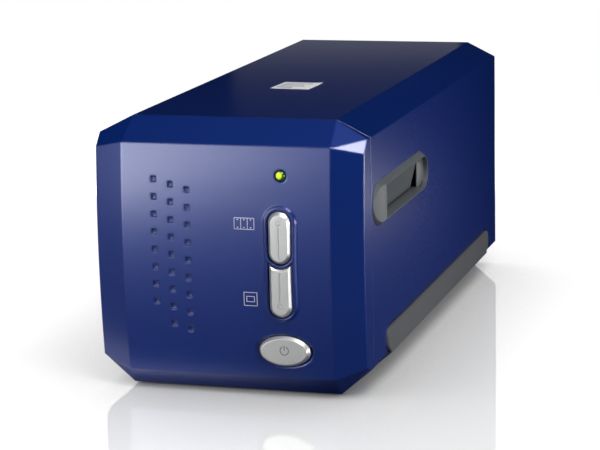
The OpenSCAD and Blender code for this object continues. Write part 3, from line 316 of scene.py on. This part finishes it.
# Optics parts are black and matt, so that they throw no stray light.
OPTICS_BLACK = Finish("black_glass_filled_nylon", "#17171a", 0.68, grain_mm=0.9, depth_mm=0.008,
                      drift=0.15)
BRONZE = Finish("sintered_bronze", "#a8834c", 0.42, grain_mm=0.25, metallic=1.0)
OPAL = Finish("opal_acrylic", "#f2f2ec", 0.35, Grain.POLISHED, grain_mm=2.0, depth_mm=0.001,
              soft=0.4)
MIRROR = Finish("front_silvered_glass", "#dfe3e6", 0.03, Grain.POLISHED, grain_mm=8.0,
                depth_mm=0.0002, metallic=1.0, rough_drift=0.01)
COATED_GLASS = Finish("coated_lens_glass", "#d6e2f0", 0.03, Grain.POLISHED, grain_mm=6.0,
                      depth_mm=0.0002, ior=1.62, see_through=0.95, rough_drift=0.01, edge_mm=0.0)
BELT_RUBBER = Finish("neoprene_belt", "#1b1b1d", 0.7, depth_mm=0.01)
NICKEL = Finish("nickel_plated_shell", "#c6c4bf", 0.24, Grain.POLISHED, grain_mm=0.8,
                depth_mm=0.001, metallic=1.0)
GOLD = Finish("gold_flash_contact", "#d8b25a", 0.25, Grain.BRUSHED_Y, grain_mm=0.2, metallic=1.0)
# Screen-printed ink: thin, flat and matt.
INK_DARK = Finish("dark_printing_ink", "#4a4b50", 0.55, Grain.FOIL, grain_mm=0.3, depth_mm=0.001,
                  edge_mm=0.0)
INK_PALE = Finish("pale_printing_ink", "#a9acb0", 0.55, Grain.FOIL, grain_mm=0.3, depth_mm=0.001,
                  edge_mm=0.0)
INK_WHITE = Finish("white_printing_ink", "#d9dbe6", 0.5, Grain.FOIL, grain_mm=0.3,
                   depth_mm=0.001, edge_mm=0.0)
PAPER = Finish("white_label_paper", "#f6f7f7", 0.55, Grain.FOIL, grain_mm=0.7, depth_mm=0.003,
               drift=0.02, edge_mm=0.0)
SCREW_BLACK = Finish("blackened_steel_screw", "#2b2b2e", 0.38, Grain.TURNED, grain_mm=0.3,
                     metallic=0.9, edge_mm=0.1)

NODE_FINISH = {
    CASE_BLUE: ("case_shell", "base_tray", "front_fascia", "rear_panel"),
    TRIM_GREY: ("slot_bezel_right", "slot_bezel_left", "dust_flap_right", "dust_flap_left",
                "lamp_housing", "idler_pulley"),
    SOFT_GREY: ("side_strip_right", "side_strip_left"),
    KEY_SILVER: ("scan_button_upper", "scan_button_lower", "power_button"),
    LENS_GREEN: ("led_lens",),
    ROD_STEEL: ("flap_pin_right", "flap_pin_left", "guide_rod_left", "guide_rod_right",
                "motor_shaft", "motor_pulley", "idler_pin", "deck_screws"),
    ZINC_SHEET: ("deck_plate", "stepper_motor", "lens_clamp"),
    SOLDER_MASK: ("button_board", "main_board", "sensor_board"),
    LAMP_MASK: ("lamp_board",),
    CHIP_BLACK: ("button_switches", "board_chips", "dc_jack", "sensor_chip"),
    NICKEL: ("usb_socket",),
    OPTICS_BLACK: ("film_guide", "carriage_tray", "carriage_lid", "lens_barrel", "belt_clamp"),
    BRONZE: ("rod_bushings",),
    OPAL: ("lamp_diffuser",),
    MIRROR: ("scan_mirror",),
    COATED_GLASS: ("lens_glass",),
    BELT_RUBBER: ("drive_belt",),
}


class Workshop:
    """Makes each finish once and hands it to nodes and pieces."""

    def __init__(self) -> None:
        """Start with no finish made."""
        self.made: dict[Finish, bpy.types.Material] = {}

    def material(self, finish: Finish) -> bpy.types.Material:
        """Give a finish's material, made on first use.

        Args:
            finish: The finish.

        Returns:
            Its material.
        """
        if finish not in self.made:
            self.made[finish] = finish.make()
        return self.made[finish]

    def dress_nodes(self) -> None:
        """Give every CAD node its finish."""
        for finish, names in NODE_FINISH.items():
            for name in names:
                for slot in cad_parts[name].material_slots:
                    slot.material = self.material(finish)
        left = set(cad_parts) - {name for names in NODE_FINISH.values() for name in names}
        LOG.info("finished %d nodes, left over: %s", len(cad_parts), sorted(left))


# ---- Surfaces ----


def sheet_mesh(name: str, surface: Surface, rows: int, columns: int,
               closed: bool = False) -> bpy.types.Object:
    """Make a mesh from a surface of two parameters.

    Args:
        name: The object's name.
        surface: Takes two grids from 0 to 1 and gives points in millimetres, axes last.
        rows: Points along the first parameter.
        columns: Points along the second parameter.
        closed: Whether the second parameter runs round and meets itself.

    Returns:
        The object, at the origin, with a UV map of its two parameters.
    """
    v = np.arange(columns) / columns if closed else np.linspace(0, 1, columns)
    grid_u, grid_v = np.meshgrid(np.linspace(0, 1, rows), v, indexing="ij")
    points = surface(grid_u, grid_v).reshape(-1, 3) * MM
    index = np.arange(rows * columns).reshape(rows, columns)
    if closed:
        index = np.concatenate([index, index[:, :1]], axis=1)
    faces = np.stack([index[:-1, :-1], index[1:, :-1], index[1:, 1:], index[:-1, 1:]],
                     axis=-1).reshape(-1, 4)
    mesh = bpy.data.meshes.new(name)
    mesh.from_pydata(points.tolist(), [], faces.tolist())
    flat = np.stack([grid_u, grid_v], axis=-1).reshape(-1, 2)
    corners = np.empty(len(mesh.loops), dtype=np.int32)
    mesh.loops.foreach_get("vertex_index", corners)
    mesh.uv_layers.new(name="UVMap").data.foreach_set("uv", flat[corners].ravel())
    mesh.shade_smooth()
    made = bpy.data.objects.new(name, mesh)
    bpy.context.collection.objects.link(made)
    return made


def thicken(piece: bpy.types.Object, thickness_mm: float, offset: float = 1.0) -> None:
    """Give a sheet its thickness.

    Args:
        piece: The sheet.
        thickness_mm: Its thickness.
        offset: Where the sheet's own face ends up: 1 grows outwards, 0 to both sides.
    """
    made = piece.modifiers.new("thickness", "SOLIDIFY")
    made.thickness = thickness_mm * MM
    made.offset = offset


def weld(piece: bpy.types.Object, reach_m: float = 1e-7) -> None:
    """Close a mesh's poles and turn its faces outwards.

    Args:
        piece: The piece.
        reach_m: Points nearer to each other than this become one.
    """
    work = bmesh.new()
    work.from_mesh(piece.data)
    bmesh.ops.remove_doubles(work, verts=work.verts, dist=reach_m)
    bmesh.ops.recalc_face_normals(work, faces=work.faces)
    work.to_mesh(piece.data)
    work.free()


def rounded_square(u: np.ndarray, v: np.ndarray, width: float, height: float,
                   corner: float) -> tuple[np.ndarray, np.ndarray]:
    """Map a disc's two parameters onto a rectangle with round corners.

    A direction of the unit circle is pushed out to the rectangle's edge, then pulled back to the
    corner's circle where it lies beyond it.

    Args:
        u: 0 in the middle, 1 on the outline.
        v: The direction, 0 to 1 once round.
        width: Size across.
        height: Size up.
        corner: Radius of the corners.

    Returns:
        Two arrays, across and up, in millimetres from the middle.
    """
    tiny = 1e-9
    angle = 2 * np.pi * v
    c, s = np.cos(angle), np.sin(angle)
    a, b = width / 2 - corner, height / 2 - corner
    reach = 1 / np.maximum(np.abs(c) / (width / 2), np.abs(s) / (height / 2))
    x, y = c * reach, s * reach
    over_x, over_y = np.maximum(np.abs(x) - a, 0), np.maximum(np.abs(y) - b, 0)
    in_corner = (over_x > 0) & (over_y > 0)
    pull = np.where(in_corner, corner / np.maximum(np.hypot(over_x, over_y), tiny), 1.0)
    x = np.where(in_corner, np.sign(x) * (a + over_x * pull), x)
    y = np.where(in_corner, np.sign(y) * (b + over_y * pull), y)
    return u * x, u * y


def capped_bar(name: str, place: Triple, width: float, height: float, corner: float,
               depth: float) -> bpy.types.Object:
    """Make a closed bar along y: a rounded rectangle, shrunk to a point at both ends.

    Args:
        name: The object's name.
        place: Middle of its near end, in millimetres.
        width: Size along x.
        height: Size along z.
        corner: Radius of the section's corners.
        depth: Length along y.

    Returns:
        The object.
    """
    # The ends' rounding: a share of the section, and as many millimetres along y
    soft = 0.12
    scale = np.array([0.0, 1 - soft, 1.0, 1.0, 1 - soft, 0.0])
    along = np.array([0.0, 0.0, soft, depth - soft, depth, depth])
    steps, last = np.arange(len(scale)), len(scale) - 1

    def surface(u: np.ndarray, v: np.ndarray) -> np.ndarray:
        """Carry the section along y and scale it by the profile."""
        x, z = rounded_square(np.interp(u * last, steps, scale), v, width, height, corner)
        y = np.interp(u * last, steps, along)
        return np.stack([place[0] + x, place[1] + y, place[2] + z], axis=-1)

    piece = sheet_mesh(name, surface, len(scale), 32, closed=True)
    weld(piece)
    return piece


def finish_piece(piece: bpy.types.Object, material: bpy.types.Material, body: str) -> None:
    """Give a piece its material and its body.

    Args:
        piece: The piece.
        material: Its material.
        body: The CAD body that carries it.
    """
    piece.data.materials.append(material)
    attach(piece, body)


@dataclass
class PaperLabel:
    """A paper label stuck on the top, a little askew, with one corner lifting."""

    center: Pair = (0.55, -27.4)
    width: float = 18.9
    length: float = 19.6
    thickness: float = 0.1
    turn: float = -3.6
    glue: float = 0.02
    lift: float = 0.35
    curl: int = 6
    ink: float = 0.01
    ink_rise: float = 0.11
    bars: tuple[Bar, ...] = (((0.1, 0.74), (0.82, 0.82)), ((0.1, 0.55), (0.66, 0.63)),
                             ((0.1, 0.36), (0.74, 0.44)), ((0.1, 0.12), (0.5, 0.26)))

    def surface(self, u: np.ndarray, v: np.ndarray) -> np.ndarray:
        """Lay a flat rectangle on the top, whose far right corner curls up.

        Args:
            u: Across the label, 0 to 1.
            v: Along the label, 0 to 1.

        Returns:
            Points in millimetres.
        """
        a = math.radians(self.turn)
        x0, y0 = (u - 0.5) * self.width, (v - 0.5) * self.length
        x = self.center[0] + x0 * math.cos(a) - y0 * math.sin(a)
        y = self.center[1] + x0 * math.sin(a) + y0 * math.cos(a)
        z = TOP_Z + self.glue + self.lift * (u * v) ** self.curl
        return np.stack([x, y, z], axis=-1)

    def bar(self, low: Pair, high: Pair) -> Surface:
        """Give the surface of a printed bar, just above the paper.

        Args:
            low: Where it starts on the label, in shares of its width and length.
            high: Where it ends.

        Returns:
            The surface.
        """
        def surface(u: np.ndarray, v: np.ndarray) -> np.ndarray:
            """Lay the bar as the label's own surface over a part of its two parameters."""
            points = self.surface(low[0] + u * (high[0] - low[0]), low[1] + v * (high[1] - low[1]))
            return points + np.array([0.0, 0.0, self.ink_rise])
        return surface

    def build(self, shop: Workshop) -> None:
        """Make the label, with plain pale bars where the print was.

        Args:
            shop: Where the finishes come from.
        """
        piece = sheet_mesh("paper_label", self.surface, 24, 24)
        thicken(piece, self.thickness)
        finish_piece(piece, shop.material(PAPER), "housing")
        for number, (low, high) in enumerate(self.bars):
            mark = sheet_mesh(f"label_bar_{number}", self.bar(low, high), 8, 8)
            thicken(mark, self.ink)
            finish_piece(mark, shop.material(INK_PALE), "housing")
        LOG.info("paper label on the top, with %d bars", len(self.bars))


@dataclass
class SocketMetal:
    """The tongue and gold contacts of the data socket, and the pin of the power inlet."""

    data_at: Pair = (-18.0, 15.9)
    inlet_at: Pair = (14.0, 16.6)
    # Width, depth, height and corners of the tongue, and how far in it ends
    tongue: Triple = (5.7, 8.0, 3.3)
    tongue_corner: float = 0.3
    tongue_in: float = 0.75
    # Width, length, thickness and corners of a contact, how far in it ends, and each one's
    # place across and side of the tongue
    contact: Triple = (0.9, 5.5, 0.16)
    contact_corner: float = 0.05
    contact_in: float = 1.3
    contact_spots: tuple[tuple[float, int], ...] = ((-1.3, 1), (1.3, 1), (-1.3, -1), (1.3, -1))
    pin_r: float = 1.04
    # The pin's profile: a share of its radius and a depth in from the rear face, point to end
    pin_profile: tuple[Pair, ...] = ((0.0, 1.4), (0.75, 1.4), (1.0, 1.75), (1.0, 6.0), (1.0, 9.0),
                                     (0.0, 9.0))

    def pin(self, u: np.ndarray, v: np.ndarray) -> np.ndarray:
        """Turn the pin's profile round its axis.

        Args:
            u: Along the profile, 0 to 1.
            v: Once round, 0 to 1.

        Returns:
            Points in millimetres.
        """
        share, deep = np.array(self.pin_profile).T
        steps = np.linspace(0, 1, len(share))
        r = np.interp(u, steps, share) * self.pin_r
        y = np.interp(u, steps, REAR_Y - deep)
        angle = 2 * np.pi * v
        return np.stack([self.inlet_at[0] + r * np.cos(angle), y,
                         self.inlet_at[1] + r * np.sin(angle)], axis=-1)

    def build(self, shop: Workshop) -> None:
        """Make the tongue, its contacts above and below, and the pin.

        Args:
            shop: Where the finishes come from.
        """
        (data_x, data_z), (wide, deep, high) = self.data_at, self.tongue
        tongue = capped_bar("data_tongue", (data_x, REAR_Y - self.tongue_in - deep, data_z), wide,
                            high, self.tongue_corner, deep)
        finish_piece(tongue, shop.material(CHIP_BLACK), "housing")
        across, length, thick = self.contact
        for number, (x, side) in enumerate(self.contact_spots):
            place = (data_x + x, REAR_Y - self.contact_in - length,
                     data_z + side * (high / 2 + INK_GAP))
            mark = capped_bar(f"data_contact_{number}", place, across, thick,
                              self.contact_corner, length)
            finish_piece(mark, shop.material(GOLD), "housing")
        pin = sheet_mesh("inlet_pin", self.pin, 26, 32, closed=True)
        weld(pin)
        finish_piece(pin, shop.material(NICKEL), "housing")
        LOG.info("tongue, %d contacts and the inlet's pin", len(self.contact_spots))


@dataclass
class BaseScrews:
    """Four blackened cross-recess screws that close the case from below."""

    spots: tuple[Pair, ...] = ((-33.0, -98.0), (33.0, -98.0), (-33.0, 116.0), (33.0, 116.0))
    head_r: float = 2.8
    head_h: float = 0.75
    sink: float = 0.1
    # The rim's height as a share of the head's, and where on the profile the dome starts
    rim: float = 0.45
    dome_from: float = 0.3
    slot_w: float = 0.42
    slot_d: float = 0.5
    # How far out the cross reaches, as a share of the head's radius, and how softly it ends
    slot_reach: float = 0.55
    slot_blend: float = 0.08

    def head(self, x0: float, y0: float) -> Surface:
        """Give the surface of one head, which faces down.

        Args:
            x0: The screw's place across.
            y0: The screw's place along.

        Returns:
            The surface.
        """
        def surface(u: np.ndarray, v: np.ndarray) -> np.ndarray:
            """Turn a low dome, with two crossed grooves back up into it near its middle."""
            steps = np.array([0.0, self.dome_from / 2, self.dome_from, 1.0])
            r = np.interp(u, steps, [0.0, 1.0, 1.0, 0.0]) * self.head_r
            rise = np.interp(u, steps, [0.0, 0.0, self.rim, 1.0])
            dome = self.rim + (1 - self.rim) * (1 - (r / self.head_r) ** 2)
            low = self.head_h * np.where(u > self.dome_from, dome, rise)
            angle = 2 * np.pi * v
            x, y = r * np.cos(angle), r * np.sin(angle)
            groove = np.maximum(np.exp(-(x / self.slot_w) ** 4), np.exp(-(y / self.slot_w) ** 4))
            inner = 1 / (1 + np.exp((r - self.slot_reach * self.head_r) / self.slot_blend))
            low = np.where(u > self.dome_from, low - self.slot_d * groove * inner, low)
            return np.stack([x0 + x, y0 + y, BASE_Z + self.sink - low], axis=-1)
        return surface

    def build(self, shop: Workshop) -> None:
        """Make the four heads.

        Args:
            shop: Where the finishes come from.
        """
        for number, spot in enumerate(self.spots):
            piece = sheet_mesh(f"base_screw_{number}", self.head(*spot), 40, 64, closed=True)
            weld(piece)
            finish_piece(piece, shop.material(SCREW_BLACK), "housing")
        LOG.info("%d screws in the base", len(self.spots))


def bar_round(x: float, z: float, half_x: float, half_z: float) -> Bar:
    """Give the two corners of a bar from its middle and half sizes.

    Args:
        x: Its middle across.
        z: Its middle's height.
        half_x: Half its width.
        half_z: Half its height.

    Returns:
        The low and the high corner in x and z.
    """
    return (x - half_x, z - half_z), (x + half_x, z + half_z)


@dataclass
class KeySigns:
    """The power sign on the oval key and the two film signs beside the scan keys."""

    power_at: Pair = (25.2, 21.8)
    ring_r: float = 1.85
    stroke: float = 0.34
    gap_deg: float = 25.0
    # The upright stroke starts this far over the ring's middle and ends this far past the ring
    bar_from: float = 0.1
    bar_past: float = 0.35
    # The oval key's face stands this far in front of the crown, which lies this far back there
    proud: float = 2.0
    crown_back: float = 1.604
    # Half the width of a printed line, and the ink's thickness on the key and on the panel
    line: float = 0.13
    key_ink: float = 0.03
    panel_ink: float = 0.01
    film_at: Pair = (8.6, 76.3)
    film_half: Pair = (4.4, 2.4)
    frame_lines: tuple[float, ...] = (-1, -0.33, 0.33, 1)
    hole_half: Pair = (0.32, 0.2)
    hole_in: float = 0.75
    hole_places: tuple[float, ...] = (-0.66, 0.0, 0.66)
    slide_at: Pair = (10.6, 43.6)
    slide_halves: tuple[Pair, ...] = ((2.9, 2.9), (1.7, 1.15))

    @property
    def ink_y(self) -> float:
        """Give the y of the printing on the oval key."""
        return FRONT_Y + self.crown_back - self.proud - INK_GAP

    def arc(self, u: np.ndarray, v: np.ndarray) -> np.ndarray:
        """Sweep a stroke round a ring that is open at the top.

        Args:
            u: Along the stroke, 0 to 1.
            v: Across the stroke, 0 to 1.

        Returns:
            Points in millimetres.
        """
        angle = math.radians(90 + self.gap_deg) + u * math.radians(360 - 2 * self.gap_deg)
        r = self.ring_r - self.stroke / 2 + v * self.stroke
        return np.stack([self.power_at[0] + r * np.cos(angle), np.full_like(r, self.ink_y),
                         self.power_at[1] + r * np.sin(angle)], axis=-1)

    def bar(self, u: np.ndarray, v: np.ndarray) -> np.ndarray:
        """Lay an upright stroke through the ring's opening.

        Args:
            u: Up the stroke, 0 to 1.
            v: Across the stroke, 0 to 1.

        Returns:
            Points in millimetres.
        """
        x = self.power_at[0] + (v - 0.5) * self.stroke
        z = self.power_at[1] + self.bar_from + u * (self.ring_r + self.bar_past)
        return np.stack([x, np.full_like(x, self.ink_y), z], axis=-1)

    def panel_bar(self, low: Pair, high: Pair) -> Surface:
        """Give the surface of a printed bar on the crowned panel.

        Args:
            low: Its low corner in x and z.
            high: Its high corner.

        Returns:
            The surface.
        """
        def surface(u: np.ndarray, v: np.ndarray) -> np.ndarray:
            """Carry a rectangle along the crown, a hair in front of it."""
            x, z = low[0] + v * (high[0] - low[0]), low[1] + u * (high[1] - low[1])
            return np.stack([x, crown_y(z) - INK_GAP, z], axis=-1)
        return surface

    def film_strip(self) -> list[Bar]:
        """List the bars of a film strip: two rails, four frame lines and the holes by the rails.

        Returns:
            The corners of each bar.
        """
        (x, z), (w, h) = self.film_at, self.film_half
        rails = [bar_round(x, z + side * h, w, self.line) for side in (-1, 1)]
        frames = [bar_round(x + at * w, z, self.line, h) for at in self.frame_lines]
        holes = [bar_round(x + at * w, z + side * (h - self.hole_in), *self.hole_half)
                 for side in (-1, 1) for at in self.hole_places]
        return rails + frames + holes

    def slide_mount(self) -> list[Bar]:
        """List the bars of a slide mount: a square frame with a window frame inside it.

        Returns:
            The corners of each bar.
        """
        (x, z), line, bars = self.slide_at, self.line, []
        for w, h in self.slide_halves:
            bars += [bar_round(x, z + side * h, w + line, line) for side in (-1, 1)]
            bars += [bar_round(x + side * w, z, line, h) for side in (-1, 1)]
        return bars

    def build(self, shop: Workshop) -> None:
        """Make the signs as thin printed strokes.

        Args:
            shop: Where the finishes come from.
        """
        for name, shape in (("power_sign_ring", self.arc), ("power_sign_bar", self.bar)):
            piece = sheet_mesh(name, shape, 40, 3)
            thicken(piece, self.key_ink, 0.0)
            finish_piece(piece, shop.material(INK_DARK), "power_key")
        for sign, bars in (("film_sign", self.film_strip()), ("slide_sign", self.slide_mount())):
            for number, (low, high) in enumerate(bars):
                mark = sheet_mesh(f"{sign}_{number}", self.panel_bar(low, high), 6, 3)
                thicken(mark, self.panel_ink, 0.0)
                finish_piece(mark, shop.material(INK_WHITE), "housing")
        LOG.info("power sign on its key, film and slide signs beside the scan keys")


# ---- Studio ----


@dataclass(frozen=True)
class Lamp:
    """A soft area lamp: place, aim and size in metres, power in watts, and its grid's angle."""

    name: str
    place: Triple
    aim: Triple
    width: float
    height: float
    watts: float
    spread: float = 180.0
    floor_only: bool = False

    def hang(self, floor: bpy.types.Collection) -> None:
        """Make the lamp, turned to its aim and unseen by the camera.

        Args:
            floor: The collection that a lamp for the floor alone lights.
        """
        data = bpy.data.lights.new(self.name, "AREA")
        data.shape, data.size, data.size_y = "RECTANGLE", self.width, self.height
        data.energy, data.spread = self.watts, math.radians(self.spread)
        made = bpy.data.objects.new(self.name, data)
        made.location = self.place
        toward = Vector(self.aim) - Vector(self.place)
        made.rotation_euler = toward.to_track_quat("-Z", "Y").to_euler()
        made.visible_camera = False
        bpy.context.collection.objects.link(made)
        if self.floor_only:
            made.light_linking.receiver_collection = floor


# How far off and how high the middle of each backdrop is
BACKDROP_AWAY, BACKDROP_UP = 3.5, 1.2

LAMPS = (
    # Gridded softbox, low on the left: the haze at the top left of the front
    Lamp("key_softbox", (-0.40, -0.76, 0.23), (-0.02, -0.13, 0.17), 0.4, 0.4, 0.26, 45.0),
    # Small lamps low and close on the left: the haze down the left of the front and its facets
    Lamp("left_card", (-0.55, -0.62, 0.10), (-0.05, -0.13, 0.07), 0.3, 0.2, 0.075, 70.0),
    Lamp("near_card", (-0.20, -0.42, 0.07), (-0.03, -0.13, 0.06), 0.10, 0.06, 0.018, 90.0),
    # Wide lamps overhead: the top, the upper facets and most of the light
    Lamp("top_right_softbox", (0.42, -0.50, 1.0), (0.0, -0.05, 0.1), 0.4, 0.4, 9.5),
    Lamp("top_softbox", (-0.1, -0.55, 1.1), (0.0, -0.1, 0.1), 0.5, 0.5, 0.8),
    # Gridded lamps on the right, lower than the top: the side wall, the bezel's front end and
    # the crescent on the power key
    Lamp("right_softbox", (0.65, -0.26, 0.065), (0.06, -0.09, 0.06), 0.3, 0.1, 0.32, 70.0),
    Lamp("side_softbox", (0.62, 0.12, 0.065), (0.06, -0.02, 0.06), 0.3, 0.1, 0.14, 70.0),
    # Small cards: the haze at the back of the top, and at the front end of the side wall
    Lamp("back_card", (-0.04, 0.20, 0.133), (-0.02, 0.1, 0.119), 0.13, 0.02, 0.0018),
    Lamp("right_card", (0.25, 0.20, 0.02), (0.06, -0.1, 0.04), 0.1, 0.03, 0.052),
    # Lower than the top, behind: the back, its sockets and the left wall for the views from there
    Lamp("rear_card", (-0.2, 0.85, 0.06), (0.0, 0.13, 0.06), 0.5, 0.1, 0.9),
    # What the polished table reflects, seen from any side
    *(Lamp(f"backdrop_{number}", (BACKDROP_AWAY * x, BACKDROP_AWAY * y, BACKDROP_UP),
           (0.0, 0.0, BACKDROP_UP), 8.0, 3.0, 90.0, floor_only=True)
      for number, (x, y) in enumerate(((0, 1), (1, 0), (0, -1), (-1, 0)))),
)

WHITE = (1, 1, 1, 1)


@dataclass(frozen=True)
class Table:
    """A polished white table: shadow, painted shade and reflection near the object, pure white far
    away.

    Light that leaves the table is weaker than what the camera sees of it, and is a painted pool of
    light that fades with the distance from its middle, so that the object's sides stay dark as in
    the photograph.
    Places and lengths are in metres, the rest are shares of white.
    """

    half: float = 6.0
    # What leaves the table as light: a painted pool of light that fades as e to the minus
    # pool_fade times distance
    pool_at: Triple = (-0.15, -0.35, 0.0)
    pool_fade: float = 4.0
    painted_pool_white: float = 0.1
    # A painted strip of light under the chin, which lights it from below: where its front edge,
    # back edge and right end fade
    chin_front: Pair = (-0.16, -0.148)
    chin_back: Pair = (-0.1, -0.11)
    chin_end: Pair = (0.05, -0.06)
    chin_painted_light: float = 0.5
    # What the camera sees: a lit part, a glow darkened by painted shade next to the object, and
    # the polish
    lit: float = 0.12
    glow: float = 0.88
    painted_shade_within: float = 0.09
    painted_shade_samples: int = 8
    polish: float = 0.24
    polish_roughness: float = 0.04
    # Where it turns to pure white
    white_round: Triple = (0.03, 0.0, 0.0)
    white_from: float = 0.3
    white_to: float = 0.75

    def away(self, tree: bpy.types.NodeTree, place: bpy.types.NodeSocket,
             point: Triple) -> bpy.types.NodeSocket:
        """Give the distance from a point on the table.

        Args:
            tree: The material's tree.
            place: The socket with the place that is shaded.
            point: The point.

        Returns:
            The socket with the distance.
        """
        return put(tree, "ShaderNodeVectorMath", {0: place, 1: point},
                   operation="DISTANCE").outputs["Value"]

    def given_light(self, tree: bpy.types.NodeTree,
                    place: bpy.types.NodeSocket) -> bpy.types.NodeSocket:
        """Build the table as rays of light meet it: a painted pool of light and a painted bright
        strip under the chin.

        Args:
            tree: The material's tree.
            place: The socket with the place that is shaded.

        Returns:
            The shader's socket.
        """
        # Painted pool of light: the light that leaves the table fades with the distance from
        # pool_at
        pool = work_out(tree, "MULTIPLY", self.away(tree, place, self.pool_at), -self.pool_fade)
        painted_pool_light = work_out(tree, "MULTIPLY", work_out(tree, "EXPONENT", pool), self.painted_pool_white)
        where = put(tree, "ShaderNodeSeparateXYZ", {0: place}).outputs
        # Painted light: a brighter strip of table under the chin
        front = put(tree, "ShaderNodeMapRange",
                    {0: where["Y"], 1: self.chin_front[0], 2: self.chin_front[1]})
        under = put(tree, "ShaderNodeMapRange",
                    {0: where["Y"], 1: self.chin_back[0], 2: self.chin_back[1],
                     4: self.chin_painted_light})
        side = put(tree, "ShaderNodeMapRange",
                   {0: where["X"], 1: self.chin_end[0], 2: self.chin_end[1]})
        chin = work_out(tree, "MULTIPLY", front.outputs[0], under.outputs[0])
        strip = work_out(tree, "MULTIPLY", chin, side.outputs[0])
        leaves = work_out(tree, "MAXIMUM", painted_pool_light, strip)
        return put(tree, "ShaderNodeBsdfDiffuse", {"Color": leaves}).outputs[0]

    def seen(self, tree: bpy.types.NodeTree,
             place: bpy.types.NodeSocket) -> bpy.types.NodeSocket:
        """Build the table as the camera sees it, with painted shade on it round the object.

        Args:
            tree: The material's tree.
            place: The socket with the place that is shaded.

        Returns:
            The shader's socket.
        """
        # Painted shade: ambient occlusion darkens the table's glow next to the object
        near = put(tree, "ShaderNodeAmbientOcclusion", {"Distance": self.painted_shade_within},
                   samples=self.painted_shade_samples)
        glow = work_out(tree, "MULTIPLY", near.outputs["AO"], self.glow)
        sheet = put(tree, "ShaderNodeBsdfDiffuse", {"Color": (self.lit, self.lit, self.lit, 1)})
        lift = put(tree, "ShaderNodeEmission", {"Color": WHITE, "Strength": glow})
        body = put(tree, "ShaderNodeAddShader", {0: sheet.outputs[0], 1: lift.outputs[0]})
        polish = put(tree, "ShaderNodeBsdfGlossy",
                     {"Color": WHITE, "Roughness": self.polish_roughness})
        close = put(tree, "ShaderNodeMixShader",
                    {0: self.polish, 1: body.outputs[0], 2: polish.outputs[0]})
        white = put(tree, "ShaderNodeEmission", {"Color": WHITE, "Strength": 1.0})
        far = put(tree, "ShaderNodeMapRange",
                  {0: self.away(tree, place, self.white_round), 1: self.white_from,
                   2: self.white_to}, interpolation_type="SMOOTHSTEP")
        return put(tree, "ShaderNodeMixShader",
                   {0: far.outputs[0], 1: close.outputs[0], 2: white.outputs[0]}).outputs[0]

    def material(self) -> bpy.types.Material:
        """Make the table's material.

        Returns:
            The material.
        """
        mat = bpy.data.materials.new("white_acrylic_sheet")
        mat.use_nodes = True
        tree = mat.node_tree
        tree.nodes.clear()
        place = put(tree, "ShaderNodeTexCoord").outputs["Object"]
        given, seen = self.given_light(tree, place), self.seen(tree, place)
        rays = put(tree, "ShaderNodeLightPath")
        mix = put(tree, "ShaderNodeMixShader",
                  {0: rays.outputs["Is Camera Ray"], 1: given, 2: seen})
        put(tree, "ShaderNodeOutputMaterial", {"Surface": mix.outputs[0]})
        return mat

    def lay(self) -> bpy.types.Collection:
        """Lay the table, which takes the shadow and a reflection.

        Returns:
            A collection of the table alone, for the lamps that light nothing else.
        """
        mesh = bpy.data.meshes.new("floor")
        corners = [(x * self.half, y * self.half, 0.0)
                   for x, y in ((-1, -1), (1, -1), (1, 1), (-1, 1))]
        mesh.from_pydata(corners, [], [(0, 1, 2, 3)])
        made = bpy.data.objects.new("floor", mesh)
        bpy.context.collection.objects.link(made)
        mesh.materials.append(self.material())
        alone = bpy.data.collections.new("floor_alone")
        alone.objects.link(made)
        return alone


@dataclass(frozen=True)
class Studio:
    """White table, soft lamps and the camera at the photograph's angle."""

    # Millimetres and degrees; the lens sits before a sensor of that width
    target: Triple = (1.93, -32.1, 53.8)
    distance: float = 1012.8
    azimuth: float = 17.1
    elevation: float = 12.1
    roll: float = -1.35
    lens: float = 129.53
    sensor: float = 36.0
    # Nearest and farthest that the camera sees, in metres
    sight: Pair = (0.01, 50.0)
    # How bright the room is as light
    room: float = 0.005

    def camera(self) -> None:
        """Place the camera: back from the target along the view, then rolled about it."""
        az, el, roll = (math.radians(a) for a in (self.azimuth, self.elevation, self.roll))
        back = Vector((math.sin(az) * math.cos(el), -math.cos(az) * math.cos(el), math.sin(el)))
        side = (-back).cross(Vector((0, 0, 1))).normalized()
        up = side.cross(-back)
        across = side * math.cos(roll) + up * math.sin(roll)
        above = -side * math.sin(roll) + up * math.cos(roll)
        turned = Matrix((across, above, back)).transposed().to_4x4()
        place = Vector(self.target) * MM + back * self.distance * MM
        data = bpy.data.cameras.new("camera")
        data.lens, data.sensor_width = self.lens, self.sensor
        data.clip_start, data.clip_end = self.sight
        made = bpy.data.objects.new("camera", data)
        made.matrix_world = Matrix.Translation(place) @ turned
        bpy.context.collection.objects.link(made)
        bpy.context.scene.camera = made

    def surround(self) -> None:
        """Give a nearly dark room for light, and white for what the camera and glass see."""
        world = bpy.data.worlds.new("studio")
        world.use_nodes = True
        bpy.context.scene.world = world
        tree = world.node_tree
        tree.nodes.clear()
        rays = put(tree, "ShaderNodeLightPath").outputs
        seen = work_out(tree, "MAXIMUM", rays["Is Camera Ray"], rays["Is Transmission Ray"])
        plain = put(tree, "ShaderNodeBackground", {"Color": WHITE, "Strength": self.room})
        white = put(tree, "ShaderNodeBackground", {"Color": WHITE, "Strength": 1.0})
        mix = put(tree, "ShaderNodeMixShader", {0: seen, 1: plain.outputs[0], 2: white.outputs[0]})
        put(tree, "ShaderNodeOutputWorld", {"Surface": mix.outputs[0]})

    def build(self) -> None:
        """Set up the whole studio."""
        self.camera()
        self.surround()
        floor = Table().lay()
        for lamp in LAMPS:
            lamp.hang(floor)
        bpy.context.scene.view_settings.view_transform = "Standard"
        LOG.info("studio ready")


def main() -> None:
    """Build the studio, finish the nodes and make the pieces."""
    logging.basicConfig(level=logging.INFO, format="%(message)s")
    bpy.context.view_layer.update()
    Studio().build()
    shop = Workshop()
    shop.dress_nodes()
    for made in (PaperLabel(), KeySigns(), SocketMetal(), BaseScrews()):
        made.build(shop)


if __name__ == "__main__":
    main()
